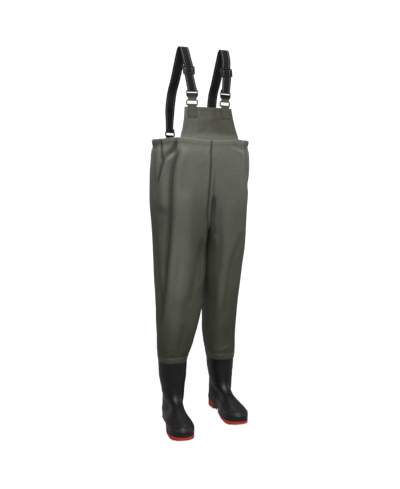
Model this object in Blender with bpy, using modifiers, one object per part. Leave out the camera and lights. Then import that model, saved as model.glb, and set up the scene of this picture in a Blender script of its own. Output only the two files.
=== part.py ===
# Chest waders: coated-cloth trousers with a bib, two webbing braces and a pair of welded-on boots.
# Metres, +Z up. The wearer faces -Y, so the wearer's right side is at -X. Soles stand on Z = 0.
import math

import bmesh
import bpy
import numpy as np
from mathutils import Matrix, Vector

# Clearances and wall thicknesses
GAP = 0.0003            # between pieces that touch
FACET = 0.0006          # extra room between two faceted round walls
LIE = 0.00045           # between webbing and what it lies on
CLOTH = 0.0012          # coated cloth of the trousers
BIB_CLOTH = 0.0015
BOOT_WALL = 0.0026
INSOLE = 0.003

# Stance of each boot: side is -1 for the wearer's right, heel is the back of the sole
STANCE = (
    # name, side, heel x, heel y, toe-out in degrees
    ("right", -1, -0.144, -0.020, 3.5),
    ("left", 1, 0.085, 0.058, 3.0),
)

# Trousers above the crotch, from the waist down
TORSO_COLUMNS = ("height", "half_width", "front", "back", "valley")
TORSO = (
    (1.167, 0.2030, -0.153, 0.137, 0.000),
    (1.100, 0.2090, -0.146, 0.142, 0.000),
    (1.030, 0.2125, -0.135, 0.147, 0.004),
    (0.960, 0.2125, -0.127, 0.149, 0.010),
    (0.890, 0.2115, -0.123, 0.148, 0.020),
    (0.830, 0.2085, -0.122, 0.146, 0.030),
)
# Each trouser leg below the crotch
LEG_COLUMNS = ("height", "centre_x", "centre_y", "half_width", "half_depth")
LEG = (
    (0.700, 0.1030, 0.008, 0.0980, 0.1170),
    (0.620, 0.1015, 0.002, 0.0930, 0.1100),
    (0.547, 0.1010, -0.005, 0.0890, 0.1030),
    (0.470, 0.1030, -0.013, 0.0830, 0.0960),
    (0.384, 0.1085, -0.026, 0.0755, 0.0870),
    (0.311, 0.1145, -0.037, 0.0680, 0.0780),
    (0.281, 0.1165, -0.0415, 0.0650, 0.0750),
    (0.238, 0.1180, -0.044, 0.0579, 0.0680),
)
# How far the line between the two legs lies towards the wearer's left
DIVIDE_COLUMNS = ("height", "shift")
DIVIDE = (
    (0.300, 0.000),
    (0.420, 0.010),
    (0.520, 0.018),
    (0.700, 0.021),
    (0.830, 0.019),
    (1.000, 0.011),
    (1.110, 0.000),
)
DIVIDE_WIDTH = 0.075    # half width of the cloth that goes with it
TORSO_POWER = 2.5       # 2 is an ellipse, more is squarer
LEG_POWER = 2.15
VALLEY_WIDTH = 0.055    # half width of the hollow between the thighs, at the front
SEAT_VALLEY = 0.35      # depth of the same hollow at the seat, as a share of the front's
TORSO_ROWS = 6
LEG_ROWS = 8
THIGH_ROWS = 4          # rows that join the crotch line to the top leg section
TORSO_STEPS = 16        # columns of half the torso, which go on down the outside of each leg
CROTCH_STEPS = 6        # columns of the inside of each leg
CROTCH_DROP = 0.042
CROTCH_POWER = 2.4      # 2 is a parabola under the body, more is flatter
COLUMN_CROWD = 0.5      # how far the torso's columns draw together at the front and back middles
INNER_ANGLE = math.radians(50)
STANCE_TOP = 0.785      # the legs leave the plain table below here, under the crotch
STANCE_LOW = 0.27

# Folded waist hem and welded leg bands, steps in the trousers' wall
HEM_HEIGHT = 0.018
HEM_STEP = 0.0014
BAND_HEIGHT = 0.025
BAND_STEP = 0.0012
STEP_RUN = 0.0008       # height over which a step comes out
WAIST_DIP = 0.011       # the waist edge dips at the middle of the front
WAIST_DIP_WIDTH = 0.075
WAIST_RISE = 0.020      # and rises at the back
WAIST_FADE = 0.100

# Bib
BIB_COLUMNS = ("height", "half_width", "lean")
BIB = (
    (1.140, 0.1255, 0.00),
    (1.170, 0.1230, 0.06),
    (1.205, 0.1135, 0.34),
    (1.250, 0.1050, 0.68),
    (1.292, 0.1000, 1.00),
)
BIB_TOP_MIDDLE_Y = -0.122
BIB_TOP_CURVE = 0.012   # how far the top corners lie behind the middle
BIB_STEPS = 10
BIB_ROWS = 6

# Boot: length is along the sole, from the back of the heel forward
BOOT_LENGTH = 0.299
HEEL_ROUND = 0.125      # share of the length that the heel's curve takes
TOE_ROUND = 0.185
OUTLINE_COLUMNS = ("station", "outer", "inner")
OUTLINE = (
    (0.00, 0.0350, 0.0350),
    (0.12, 0.0350, 0.0345),
    (0.24, 0.0345, 0.0325),
    (0.36, 0.0355, 0.0295),
    (0.50, 0.0410, 0.0350),
    (0.65, 0.0470, 0.0440),
    (0.78, 0.0455, 0.0455),
    (0.90, 0.0420, 0.0440),
    (1.00, 0.0390, 0.0415),
)
BOOT_COLUMNS = ("height", "back", "front", "half_width", "foot", "inset", "rand")
BOOT = (
    (0.0500, 0.0000, 0.2990, 0.0480, 1.00, 0.0000, 0.0018),
    (0.0512, 0.0004, 0.2975, 0.0480, 1.00, 0.0006, 0.0000),
    (0.0640, 0.0020, 0.2870, 0.0470, 0.98, 0.0085, 0.0000),
    (0.0770, 0.0040, 0.2590, 0.0455, 0.93, 0.0175, 0.0000),
    (0.0890, 0.0060, 0.2150, 0.0435, 0.84, 0.0230, 0.0000),
    (0.1010, 0.0075, 0.1760, 0.0420, 0.70, 0.0230, 0.0000),
    (0.1160, 0.0085, 0.1510, 0.0420, 0.45, 0.0160, 0.0000),
    (0.1360, 0.0085, 0.1385, 0.0440, 0.18, 0.0060, 0.0000),
    (0.1650, 0.0065, 0.1325, 0.0485, 0.00, 0.0000, 0.0000),
    (0.2000, 0.0040, 0.1330, 0.0540, 0.00, 0.0000, 0.0000),
    (0.2700, 0.0020, 0.1370, 0.0575, 0.00, 0.0000, 0.0000),
)
INSET_OUTER = 1.3       # the outer side of the vamp draws in further than the inner side
INSET_REACH = (0.05, 0.15)    # distance from the heel over which the vamp starts to draw in
BOOT_STATIONS = (0.0015, 0.012, 0.036, 0.078, 0.135, 0.205, 0.272, 0.290, 0.400, 0.418,
                 0.500, 0.600, 0.700, 0.800, 0.880, 0.937, 0.975, 0.993, 0.9985)
SPUR = 0.0055           # kick-off ledge at the back of the heel
SPUR_HEIGHTS = (0.0465, 0.0505)
SPUR_REACH = 0.030      # share of the length over which the ledge fades

# Outsole
SOLE_COLUMNS = ("station", "tread", "top", "edge")
SOLE = (
    (0.0015, 0.0030, 0.0420, 0.0030),
    (0.0200, 0.0000, 0.0400, 0.0030),
    (0.0700, 0.0000, 0.0350, 0.0030),
    (0.2580, 0.0000, 0.0303, 0.0030),
    (0.2680, 0.0120, 0.0301, -0.0045),
    (0.4220, 0.0110, 0.0262, -0.0045),
    (0.4320, 0.0000, 0.0260, 0.0030),
    (0.7600, 0.0000, 0.0260, 0.0034),
    (0.8800, 0.0035, 0.0285, 0.0036),
    (0.9500, 0.0085, 0.0325, 0.0036),
    (0.9985, 0.0125, 0.0365, 0.0036),
)
HEEL_GROOVE = (0.150, 0.168)
LUG_FIRST = 0.452
LUG_PITCH = 0.070
LUG_COUNT = 7
LUG_SHARE = 0.62        # share of the pitch that is rubber
LUG_DEPTH = 0.0055
GROOVE_EDGE = 0.004     # share of the length over which a groove's wall runs
SOLE_BETWEEN = (0.007, 0.045, 0.110, 0.345, 0.915, 0.975, 0.991)    # more stations for its curves
SOLE_LEAST_HALF = 0.001
SOLE_SIDE = (
    # share of the sole's height, inset
    (0.00, 0.0016),
    (0.10, 0.0000),
    (0.52, 0.0000),
    (0.58, 0.0014),
    (0.64, 0.0000),
    (1.00, 0.0006),
)
ARCH_FLAP = (0.275, 0.292, 0.400, 0.4165)    # the upper comes down over the arch between these
ARCH_FLAP_HEIGHT = 0.0105
INSOLE_CLEAR = 0.0014

# Braces and their fittings
WEB_WIDTH = 0.0385
WEB = 0.0018
TAB_WIDTH = 0.037
BRACE_X = 0.070         # middle of the tab and ring on the bib
TAB_FOOT_Z = 1.250
RING_WIDTH = 0.048
RING_HEIGHT = 0.022
RING_BAR = 0.004
RING_THICK = 0.003
RING_CORNER = 0.004
RING_HOLE_CORNER = 0.0006
FRONT_RING_Z = 1.3085
BUCKLE_TOP_Z = 1.357
BUCKLE_WIDTH = 0.048
BUCKLE_WAIST = 0.034
BUCKLE_THICK = 0.0032
BUCKLE_BAR = 0.005
BUCKLE_SLOT = (0.041, 0.0062)
BUCKLE_SHARES = (0.0, 0.2, 0.45, 0.75)  # where the plate has sections, from its top to the ring
SLIDER_CENTRE = (0.080, -0.104, 1.437)
SLIDER_LEAN = math.radians(13)
SLIDER_SIZE = (0.050, 0.036)
SLIDER_THICK = 0.0025
SLIDER_BAR = 0.004
SLIDER_MIDDLE = 0.006
SLIDER_CORNER = 0.006
SLIDER_HOLE_CORNER = 0.001
SLIDER_ROOM = 0.003
SHOULDER_RUN = (
    # x, y, z of the webbing between the slider and the ring at the back
    (0.0840, -0.0890, 1.4850),
    (0.0865, -0.0690, 1.5220),
    (0.0875, -0.0540, 1.5385),
    (0.0880, -0.0430, 1.5420),
    (0.0885, -0.0320, 1.5370),
    (0.0900, 0.0020, 1.4960),
    (0.0920, 0.0560, 1.4330),
    (0.0945, 0.1120, 1.3740),
    (0.0970, 0.1330, 1.3050),
)
BACK_X = 0.099
BACK_RING_Z = 1.2085
BACK_TAB_FOOT_Z = 1.148
WRAP_STEPS = 7
TAIL = 0.012            # webbing that comes back up behind a bar
TAB_STEPS = 3
TAB_PAST = 20           # degrees that a tab goes on past the far side of its bar
RISE_SHARES = (0.12, 0.4, 0.7)    # sections of the webbing between the buckle and the slider
SHOULDER_STEPS = 2
TWIST_START = 0.85       # share of the way over the shoulder where the webbing starts to turn
SHARP_ANGLE = math.radians(40)    # edges sharper than this are shaded as edges

COLOURS = {
    # name: base colour, roughness, metallic
    "coated_cloth": ((0.125, 0.128, 0.098, 1), 0.55, 0.0),
    "olive_webbing": ((0.085, 0.088, 0.068, 1), 0.80, 0.0),
    "boot_rubber": ((0.012, 0.012, 0.012, 1), 0.38, 0.0),
    "sole_rubber": ((0.50, 0.035, 0.018, 1), 0.55, 0.0),
    "insole_felt": ((0.09, 0.09, 0.085, 1), 0.90, 0.0),
    "black_webbing": ((0.012, 0.012, 0.013, 1), 0.80, 0.0),
    "black_plastic": ((0.014, 0.014, 0.015, 1), 0.40, 0.0),
    "olive_plastic": ((0.16, 0.16, 0.14, 1), 0.50, 0.0),
}


# Tables and curves

def column(table, names, name):
    return [row[names.index(name)] for row in table]


def curve_value(xs, ys, x):
    """Value at x of a smooth curve through the points (xs, ys); xs rise."""
    xs = np.asarray(xs, float)
    ys = np.asarray(ys, float)
    x = min(max(x, xs[0]), xs[-1])
    i = min(int(np.searchsorted(xs, x, side="right")) - 1, len(xs) - 2)
    slopes = np.diff(ys) / np.diff(xs)
    tangents = np.empty(len(xs))
    tangents[0] = slopes[0]
    tangents[-1] = slopes[-1]
    for k in range(1, len(xs) - 1):
        same_way = slopes[k - 1] * slopes[k] > 0
        tangents[k] = 2 * slopes[k - 1] * slopes[k] / (slopes[k - 1] + slopes[k]) if same_way else 0.0
    span = xs[i + 1] - xs[i]
    u = (x - xs[i]) / span
    start = (1 + 2 * u) * (1 - u) ** 2 * ys[i] + u * (1 - u) ** 2 * span * tangents[i]
    end = u * u * (3 - 2 * u) * ys[i + 1] + u * u * (u - 1) * span * tangents[i + 1]
    return float(start + end)


def table_value(table, names, key, name, x):
    rows = sorted(table, key=lambda row: row[names.index(key)])
    return curve_value(column(rows, names, key), column(rows, names, name), x)


def mix(a, b, share):
    return a + (b - a) * share


def smooth(low, high, x):
    u = min(max((x - low) / (high - low), 0.0), 1.0)
    return u * u * (3 - 2 * u)


def signed_power(value, power):
    return math.copysign(abs(value) ** power, value)


# Scene, materials and mesh helpers

def clear_scene():
    for obj in list(bpy.data.objects):
        bpy.data.objects.remove(obj, do_unlink=True)


def make_material(name):
    colour, roughness, metallic = COLOURS[name]
    material = bpy.data.materials.new(name)
    material.use_nodes = True
    shader = material.node_tree.nodes["Principled BSDF"]
    shader.inputs["Base Color"].default_value = colour
    shader.inputs["Roughness"].default_value = roughness
    shader.inputs["Metallic"].default_value = metallic
    return material


clear_scene()
MATERIALS = {name: make_material(name) for name in COLOURS}
PARTS = bpy.data.collections.new("chest_waders")
CUTTERS = bpy.data.collections.new("cutters")
bpy.context.scene.collection.children.link(PARTS)
bpy.context.scene.collection.children.link(CUTTERS)


def add_empty(name, parent=None, location=(0, 0, 0), turn=0.0):
    empty = bpy.data.objects.new(name, None)
    PARTS.objects.link(empty)
    empty.parent = parent
    empty.location = location
    empty.rotation_euler = (0, 0, turn)
    return empty


def add_object(name, data, material, parent):
    data.materials.append(MATERIALS[material])
    obj = bpy.data.objects.new(name, data)
    PARTS.objects.link(obj)
    obj.parent = parent
    if isinstance(data, bpy.types.Mesh):
        data.shade_smooth()
        data.set_sharp_from_angle(angle=SHARP_ANGLE)
    return obj


def loft(rings, closed, ends=False):
    """Mesh through rings of points: closed joins a ring's ends, ends caps the first and last ring."""
    bm = bmesh.new()
    loops = [[bm.verts.new(point) for point in ring] for ring in rings]
    for low, high in zip(loops, loops[1:]):
        count = len(low)
        for i in range(count if closed else count - 1):
            j = (i + 1) % count
            bm.faces.new((low[i], low[j], high[j], high[i]))
    if ends:
        bm.faces.new(list(reversed(loops[0])))
        bm.faces.new(loops[-1])
    return bm


def to_mesh(bm, name, outward=None):
    """Finish a bmesh; outward is a test of the faces, for shells that have no inside."""
    bmesh.ops.remove_doubles(bm, verts=bm.verts, dist=1e-6)
    bmesh.ops.recalc_face_normals(bm, faces=bm.faces)
    if outward and not outward(bm):
        bmesh.ops.reverse_faces(bm, faces=bm.faces)
    mesh = bpy.data.meshes.new(name)
    bm.to_mesh(mesh)
    bm.free()
    return mesh


def faces_away_from(axis_point):
    """Test that most of a shell's faces look away from axis_point."""
    def test(bm):
        away = 0.0
        for face in bm.faces:
            away += (face.calc_center_median() - Vector(axis_point)).dot(face.normal) * face.calc_area()
        return away > 0
    return test


def add_wall(obj, thickness):
    wall = obj.modifiers.new("wall", "SOLIDIFY")
    wall.thickness = thickness
    wall.offset = -1.0
    wall.use_even_offset = True
    wall.thickness_clamp = 0.0
    return wall


# Boot and sole

def end_round(station):
    heel = min(station / HEEL_ROUND, 1.0)
    toe = min((1 - station) / TOE_ROUND, 1.0)
    return math.sqrt(1 - (1 - heel) ** 2) * math.sqrt(1 - (1 - toe) ** 2)


def outline_half(station, edge):
    """Half width of the foot's outline at a station along it, on its outer or inner edge."""
    return table_value(OUTLINE, OUTLINE_COLUMNS, "station", edge, station) * end_round(station)


def sole_value(station, name):
    stations = column(SOLE, SOLE_COLUMNS, "station")
    return float(np.interp(station, stations, column(SOLE, SOLE_COLUMNS, name)))


def sole_reach(station):
    """Distance forward from the heel's origin of a station along the sole."""
    return mix(-sole_value(0, "edge"), BOOT_LENGTH + sole_value(1, "edge"), station)


def sole_station(reach):
    return (reach - sole_reach(0)) / (sole_reach(1) - sole_reach(0))


def upper_foot_height(station):
    """Lower edge of the boot's upper: on the sole's top, and down over the sole at the arch."""
    on_sole = sole_value(station, "top") + GAP
    start, full, last, end = ARCH_FLAP
    share = float(np.interp(station, (start, full, last, end), (0, 1, 1, 0)))
    return mix(on_sole, ARCH_FLAP_HEIGHT, share)


def boot_ring(row, flip, foot_line=False):
    """One level of the boot in its own frame: heel back at the origin, toe along -Y, outer side +X."""
    value = dict(zip(BOOT_COLUMNS, row))
    ring = []
    order = [("outer", s) for s in BOOT_STATIONS] + [("inner", s) for s in reversed(BOOT_STATIONS)]
    for edge, station in order:
        oval = value["half_width"] * 2 * math.sqrt(station * (1 - station))
        reach = mix(value["back"] - value["rand"], value["front"] + value["rand"], station)
        inset = value["inset"] * (INSET_OUTER if edge == "outer" else 1.0)
        inset *= smooth(*INSET_REACH, reach) * end_round(station)
        half = mix(oval, outline_half(station, edge) - inset, value["foot"]) + value["rand"]
        if SPUR_HEIGHTS[0] <= value["height"] <= SPUR_HEIGHTS[1]:
            reach -= SPUR * (1 - smooth(0, SPUR_REACH, station))
        height = upper_foot_height(sole_station(reach)) if foot_line else value["height"]
        ring.append((flip * (half if edge == "outer" else -half), -reach, height))
    return ring


def make_boot_upper(name, flip, parent):
    rings = [boot_ring(BOOT[0], flip, foot_line=True)] + [boot_ring(row, flip) for row in BOOT]
    shaft = BOOT[-1]
    centre = (0, -mix(shaft[1], shaft[2], 0.5), mix(BOOT[0][0], shaft[0], 0.5))
    mesh = to_mesh(loft(rings, closed=True), name, faces_away_from(centre))
    add_wall(add_object(name, mesh, "boot_rubber", parent), BOOT_WALL)


def lug_grooves():
    """Start and end stations of the grooves across the tread."""
    grooves = [HEEL_GROOVE]
    for i in range(LUG_COUNT):
        start = LUG_FIRST + (i + LUG_SHARE) * LUG_PITCH
        grooves.append((start, start + (1 - LUG_SHARE) * LUG_PITCH))
    return grooves


def sole_stations():
    stations = set(column(SOLE, SOLE_COLUMNS, "station"))
    stations.update(SOLE_BETWEEN)
    for start, end in lug_grooves():
        stations.update((start, start + GROOVE_EDGE, end - GROOVE_EDGE, end))
    return sorted(stations)


def tread_height(station):
    height = sole_value(station, "tread")
    for start, end in lug_grooves():
        if start + GROOVE_EDGE / 2 < station < end - GROOVE_EDGE / 2:
            height += LUG_DEPTH
    return height


def make_outsole(name, flip, parent):
    rings = []
    for station in sole_stations():
        low = tread_height(station)
        high = sole_value(station, "top")
        reach = sole_reach(station)
        outer = []
        inner = []
        for share, inset in SOLE_SIDE:
            height = mix(low, high, share)
            edge = sole_value(station, "edge") - inset
            wide = max(outline_half(station, "outer") + edge, SOLE_LEAST_HALF)
            narrow = max(outline_half(station, "inner") + edge, SOLE_LEAST_HALF)
            outer.append((flip * wide, -reach, height))
            inner.append((-flip * narrow, -reach, height))
        rings.append(outer + inner[::-1])
    bm = loft(rings, closed=True, ends=True)
    add_object(name, to_mesh(bm, name), "sole_rubber", parent)


def make_insole(name, flip, parent):
    rings = []
    inset = BOOT_WALL + INSOLE_CLEAR
    for station in BOOT_STATIONS[1:-1]:
        reach = mix(inset, BOOT_LENGTH - inset, station)
        outer = flip * (outline_half(station, "outer") - inset)
        inner = -flip * (outline_half(station, "inner") - inset)
        low = sole_value(sole_station(reach), "top") + GAP
        corners = ((outer, low), (outer, low + INSOLE), (inner, low + INSOLE), (inner, low))
        rings.append([(x, -reach, z) for x, z in corners])
    bm = loft(rings, closed=True, ends=True)
    add_object(name, to_mesh(bm, name), "insole_felt", parent)


# Trousers

def torso_half(height, name):
    return table_value(TORSO, TORSO_COLUMNS, "height", name, height)


def torso_column(share):
    """Angle of a column of half the torso; share goes from the front middle to the back middle."""
    return math.pi * mix(share, (1 - math.cos(math.pi * share)) / 2, COLUMN_CROWD)


def torso_point(height, share, proud=0.0):
    angle = torso_column(share)
    half_width = torso_half(height, "half_width") + proud
    front = torso_half(height, "front") - proud
    back = torso_half(height, "back") + proud
    x = half_width * math.sin(angle) ** (2 / TORSO_POWER) if 0 < share < 1 else 0.0
    y = mix(front, back, 0.5) - (back - front) / 2 * signed_power(math.cos(angle), 2 / TORSO_POWER)
    valley = torso_half(height, "valley") * math.exp(-(x / VALLEY_WIDTH) ** 2)
    y += valley if math.cos(angle) > 0 else -valley * SEAT_VALLEY
    dip = -WAIST_DIP * math.exp(-(x / WAIST_DIP_WIDTH) ** 2) if math.cos(angle) > 0 else 0.0
    rise = WAIST_RISE * smooth(0, 1, -math.cos(angle))
    lift = (dip + rise) * smooth(TORSO[0][0] - WAIST_FADE, TORSO[0][0], height)
    return Vector((x, y, height + lift))


def torso_skin(x, height, way):
    """Y of the torso's outside at x: way is -1 for the front and 1 for the back."""
    half_width = torso_half(height, "half_width")
    front = torso_half(height, "front")
    back = torso_half(height, "back")
    depth = (1 - min(abs(x) / half_width, 1.0) ** TORSO_POWER) ** (1 / TORSO_POWER)
    return mix(front, back, 0.5) + way * (back - front) / 2 * depth


def leg_value(height, name):
    return table_value(LEG, LEG_COLUMNS, "height", name, height)


def leg_point(height, angle, proud=0.0):
    """Point of a leg's section: angle 0 is the inner side, a quarter turn is the front."""
    half_width = leg_value(height, "half_width") + proud
    half_depth = leg_value(height, "half_depth") + proud
    x = leg_value(height, "centre_x") - half_width * signed_power(math.cos(angle), 2 / LEG_POWER)
    y = leg_value(height, "centre_y") - half_depth * signed_power(math.sin(angle), 2 / LEG_POWER)
    return Vector((x, y, height))


def leg_angles():
    outer = [torso_column(i / TORSO_STEPS) / math.pi for i in range(TORSO_STEPS + 1)]
    inner = [j / CROTCH_STEPS for j in range(1, CROTCH_STEPS)]
    angles = [mix(INNER_ANGLE, 2 * math.pi - INNER_ANGLE, share) for share in outer]
    angles += [2 * math.pi + mix(-INNER_ANGLE, INNER_ANGLE, share) for share in inner]
    return angles


def crotch_line(front, back):
    """Points under the body from the back middle to the front middle, between the two ends."""
    points = []
    for j in range(1, CROTCH_STEPS):
        share = j / CROTCH_STEPS
        drop = CROTCH_DROP * (1 - abs(2 * share - 1) ** CROTCH_POWER)
        points.append(Vector((0, mix(back.y, front.y, share), mix(back.z, front.z, share) - drop)))
    return points


def shaft_centre(side, heel_x, heel_y, toe_out):
    """World place of the middle of a boot's shaft."""
    reach = mix(BOOT[-1][1], BOOT[-1][2], 0.5)
    turn = math.radians(toe_out)
    return Vector((heel_x + side * math.sin(turn) * reach, heel_y - math.cos(turn) * reach, 0))


def settle_on_boot(point, stance):
    """Mirror a leg's point to its side, and lead the lower leg to its boot."""
    _, side, heel_x, heel_y, toe_out = stance
    low = 1 - smooth(STANCE_LOW, STANCE_TOP, point.z)
    hem = LEG[-1]
    middle = Vector((side * leg_value(point.z, "centre_x"), leg_value(point.z, "centre_y"), 0))
    shift = shaft_centre(side, heel_x, heel_y, toe_out) - Vector((side * hem[1], hem[2], 0))
    turned = Matrix.Rotation(side * math.radians(toe_out) * low, 3, "Z")
    offset = Vector((side * point.x, point.y, 0)) - middle
    place = middle + turned @ offset if low > 0 and point.x > 0 else middle + offset
    place += shift * low
    divide = table_value(DIVIDE, DIVIDE_COLUMNS, "height", "shift", point.z)
    place.x += divide * math.exp(-(place.x / DIVIDE_WIDTH) ** 2)
    return (place.x, place.y, point.z)


def trouser_rows():
    """Rows of half the trousers, as lists of points, torso first."""
    top = TORSO[0][0]
    fork = TORSO[-1][0]
    heights = [(top, HEM_STEP), (top - HEM_HEIGHT, HEM_STEP), (top - HEM_HEIGHT - STEP_RUN, 0.0)]
    first = heights[-1][0]
    heights += [(mix(first, fork, (i + 1) / TORSO_ROWS), 0.0) for i in range(TORSO_ROWS)]
    shares = [i / TORSO_STEPS for i in range(TORSO_STEPS + 1)]
    torso = [[torso_point(z, share, proud) for share in shares] for z, proud in heights]
    last = torso[-1]
    ring = last + crotch_line(last[0], last[-1])
    upper = LEG[0][0]
    hem = LEG[-1][0]
    band = hem + BAND_HEIGHT
    target = [leg_point(upper, angle) for angle in leg_angles()]
    downs = [i / THIGH_ROWS for i in range(THIGH_ROWS + 1)]
    legs = [[a.lerp(b, down) for a, b in zip(ring, target)] for down in downs]
    levels = [(mix(upper, band + STEP_RUN, (i + 1) / LEG_ROWS), 0.0) for i in range(LEG_ROWS)]
    levels += [(band, BAND_STEP), (hem, BAND_STEP)]
    legs += [[leg_point(z, angle, proud) for angle in leg_angles()] for z, proud in levels]
    return torso, legs


def make_trousers(parent):
    name = "trousers"
    torso, legs = trouser_rows()
    bm = bmesh.new()
    for stance in STANCE:
        for rows, closed in ((torso, False), (legs, True)):
            placed = [[settle_on_boot(p, stance) for p in row] for row in rows]
            piece = loft(placed, closed)
            temp = bpy.data.meshes.new("half")
            piece.to_mesh(temp)
            piece.free()
            bm.from_mesh(temp)
            bpy.data.meshes.remove(temp)
    bmesh.ops.remove_doubles(bm, verts=bm.verts, dist=1e-5)
    mesh = to_mesh(bm, name, faces_away_from((0, 0, TORSO[2][0])))
    add_wall(add_object(name, mesh, "coated_cloth", parent), CLOTH)


# Bib

def bib_front(x, height):
    """Y of the bib's front face: behind the waist hem below, leaning back to its top."""
    tucked = torso_skin(x, min(height, TORSO[0][0]), -1) + CLOTH + GAP + FACET
    top_half = BIB[-1][1]
    top = BIB_TOP_MIDDLE_Y + BIB_TOP_CURVE * (x / top_half) ** 2
    return mix(tucked, top, table_value(BIB, BIB_COLUMNS, "height", "lean", height))


def make_bib(parent):
    name = "bib"
    rows = []
    for i in range(BIB_ROWS + 1):
        height = mix(BIB[0][0], BIB[-1][0], i / BIB_ROWS)
        half = table_value(BIB, BIB_COLUMNS, "height", "half_width", height)
        xs = [mix(-half, half, j / BIB_STEPS) for j in range(BIB_STEPS + 1)]
        rows.append([(x, bib_front(x, height), height) for x in xs])
    behind = (0, 0, mix(BIB[0][0], BIB[-1][0], 0.5))
    mesh = to_mesh(loft(rows, closed=False), name, faces_away_from(behind))
    add_wall(add_object(name, mesh, "coated_cloth", parent), BIB_CLOTH)


# Webbing and fittings

def across(turn):
    """Direction of a fitting's width, turned about Z from X."""
    return Vector((math.cos(turn), math.sin(turn), 0))


def behind(turn):
    return Vector((-math.sin(turn), math.cos(turn), 0))


def strip(path, widths, turns, thickness):
    """Closed strip along a path, with a width and a turn of that width about Z at each point."""
    rings = []
    for i, point in enumerate(path):
        side = across(turns[i])
        ends = [pair for pair in ((i - 1, i), (i, i + 1)) if pair[0] >= 0 and pair[1] < len(path)]
        normals = [side.cross(path[b] - path[a]).normalized() for a, b in ends]
        normal = sum(normals, Vector()).normalized()
        out = normal * (thickness / 2 / max(normal.dot(normals[0]), 0.5))
        half = side * widths[i] / 2
        rings.append([point - half - out, point + half - out, point + half + out, point - half + out])
    return loft(rings, closed=True, ends=True)


def wrap(centre, radius, start, end, turn):
    """Points of an arc around a bar; angle 0 is behind it and a quarter turn above it."""
    points = []
    for i in range(WRAP_STEPS + 1):
        angle = math.radians(mix(start, end, i / WRAP_STEPS))
        outward = behind(turn) * math.cos(angle) + Vector((0, 0, math.sin(angle)))
        points.append(centre + outward * radius)
    return points


def rounded_box(width, height, corner, middle=(0.0, 0.0), steps=2):
    """Outline of a rectangle with round corners."""
    points = []
    for k, (sx, sy) in enumerate(((1, 1), (-1, 1), (-1, -1), (1, -1))):
        for i in range(steps + 1):
            angle = math.pi / 2 * (k + i / steps)
            x = middle[0] + sx * (width / 2 - corner) + corner * math.cos(angle)
            y = middle[1] + sy * (height / 2 - corner) + corner * math.sin(angle)
            points.append((x, y))
    return points


def add_plate(name, outlines, thickness, material, parent, centre, turn=0.0, lean=0.0):
    """Upright plate with holes: the first outline is its edge, and the others are cut out."""
    curve = bpy.data.curves.new(name, "CURVE")
    curve.dimensions = "2D"
    curve.fill_mode = "BOTH"
    curve.extrude = thickness / 2
    for outline in outlines:
        spline = curve.splines.new("POLY")
        spline.points.add(len(outline) - 1)
        for spot, (x, y) in zip(spline.points, outline):
            spot.co = (x, y, 0, 1)
        spline.use_cyclic_u = True
    obj = add_object(name, curve, material, parent)
    obj.location = centre
    obj.rotation_euler = (math.pi / 2 - lean, 0, turn)
    return obj


def add_ring(name, material, parent, centre, turn):
    hole = rounded_box(RING_WIDTH - 2 * RING_BAR, RING_HEIGHT - 2 * RING_BAR, RING_HOLE_CORNER)
    edge = rounded_box(RING_WIDTH, RING_HEIGHT, RING_CORNER)
    return add_plate(name, (edge, hole), RING_THICK, material, parent, centre, turn)


def ring_bars(centre):
    offset = Vector((0, 0, (RING_HEIGHT - RING_BAR) / 2))
    return centre + offset, centre - offset


def bar_radius(bar_height, bar_thick, strip_thick):
    """Radius at which the middle of a strip clears a rectangular bar."""
    return math.hypot(bar_height, bar_thick) / 2 + GAP + strip_thick / 2


RING_WRAP = bar_radius(RING_BAR, RING_THICK, WEB)
TAB_STANDOFF = LIE + WEB / 2    # middle of a tab to the cloth it is stitched on


def make_tab(name, material, parent, surface, foot_z, bar, turn, outward):
    """Webbing tab, stitched up a surface and over a ring's lower bar; outward is -1 at the front."""
    path = []
    bend_z = bar.z - RING_WRAP
    bend = bar + behind(turn) * outward * RING_WRAP
    for i in range(TAB_STEPS):
        z = mix(foot_z, bend_z, i / TAB_STEPS)
        path.append(Vector((bend.x, surface(bar.x, z) + outward * TAB_STANDOFF, z)))
    start, end = (180, -TAB_PAST) if outward < 0 else (0, 180 + TAB_PAST)
    path += wrap(bar, RING_WRAP, start, end, turn)
    bm = strip(path, [TAB_WIDTH] * len(path), [turn] * len(path), WEB)
    add_object(name, to_mesh(bm, name), material, parent)


def make_buckle(name, parent, ring_bar, turn):
    """Hook buckle: a plate with a slot for the webbing, hooked under the ring's upper bar."""
    radius = bar_radius(RING_BAR, RING_THICK, BUCKLE_THICK)
    foot = ring_bar - behind(turn) * radius
    top = Vector((foot.x, foot.y, BUCKLE_TOP_Z))
    upright = [top.lerp(foot, share) for share in BUCKLE_SHARES]
    hook = wrap(ring_bar, radius, 180, 360, turn)
    path = upright + hook + [hook[-1] + Vector((0, 0, RING_BAR))]
    wide = len(upright) - 1
    widths = [BUCKLE_WIDTH] * wide + [BUCKLE_WAIST] * (len(path) - wide)
    bm = strip(path, widths, [turn] * len(path), BUCKLE_THICK)
    body = add_object(name, to_mesh(bm, name), "black_plastic", parent)
    slot = Vector((top.x, top.y, top.z - BUCKLE_BAR - BUCKLE_SLOT[1] / 2))
    bpy.ops.mesh.primitive_cube_add(size=1, location=slot, rotation=(0, 0, turn))
    cutter = bpy.context.object
    cutter.name = name + "_slot"
    cutter.scale = (BUCKLE_SLOT[0], 4 * BUCKLE_THICK, BUCKLE_SLOT[1])
    for collection in list(cutter.users_collection):
        collection.objects.unlink(cutter)
    CUTTERS.objects.link(cutter)
    cutter.parent = parent
    cutter.hide_render = True
    cutter.display_type = "WIRE"
    cut = body.modifiers.new("slot", "BOOLEAN")
    cut.operation = "DIFFERENCE"
    cut.object = cutter
    return Vector((top.x, top.y, top.z - BUCKLE_BAR / 2))


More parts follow.
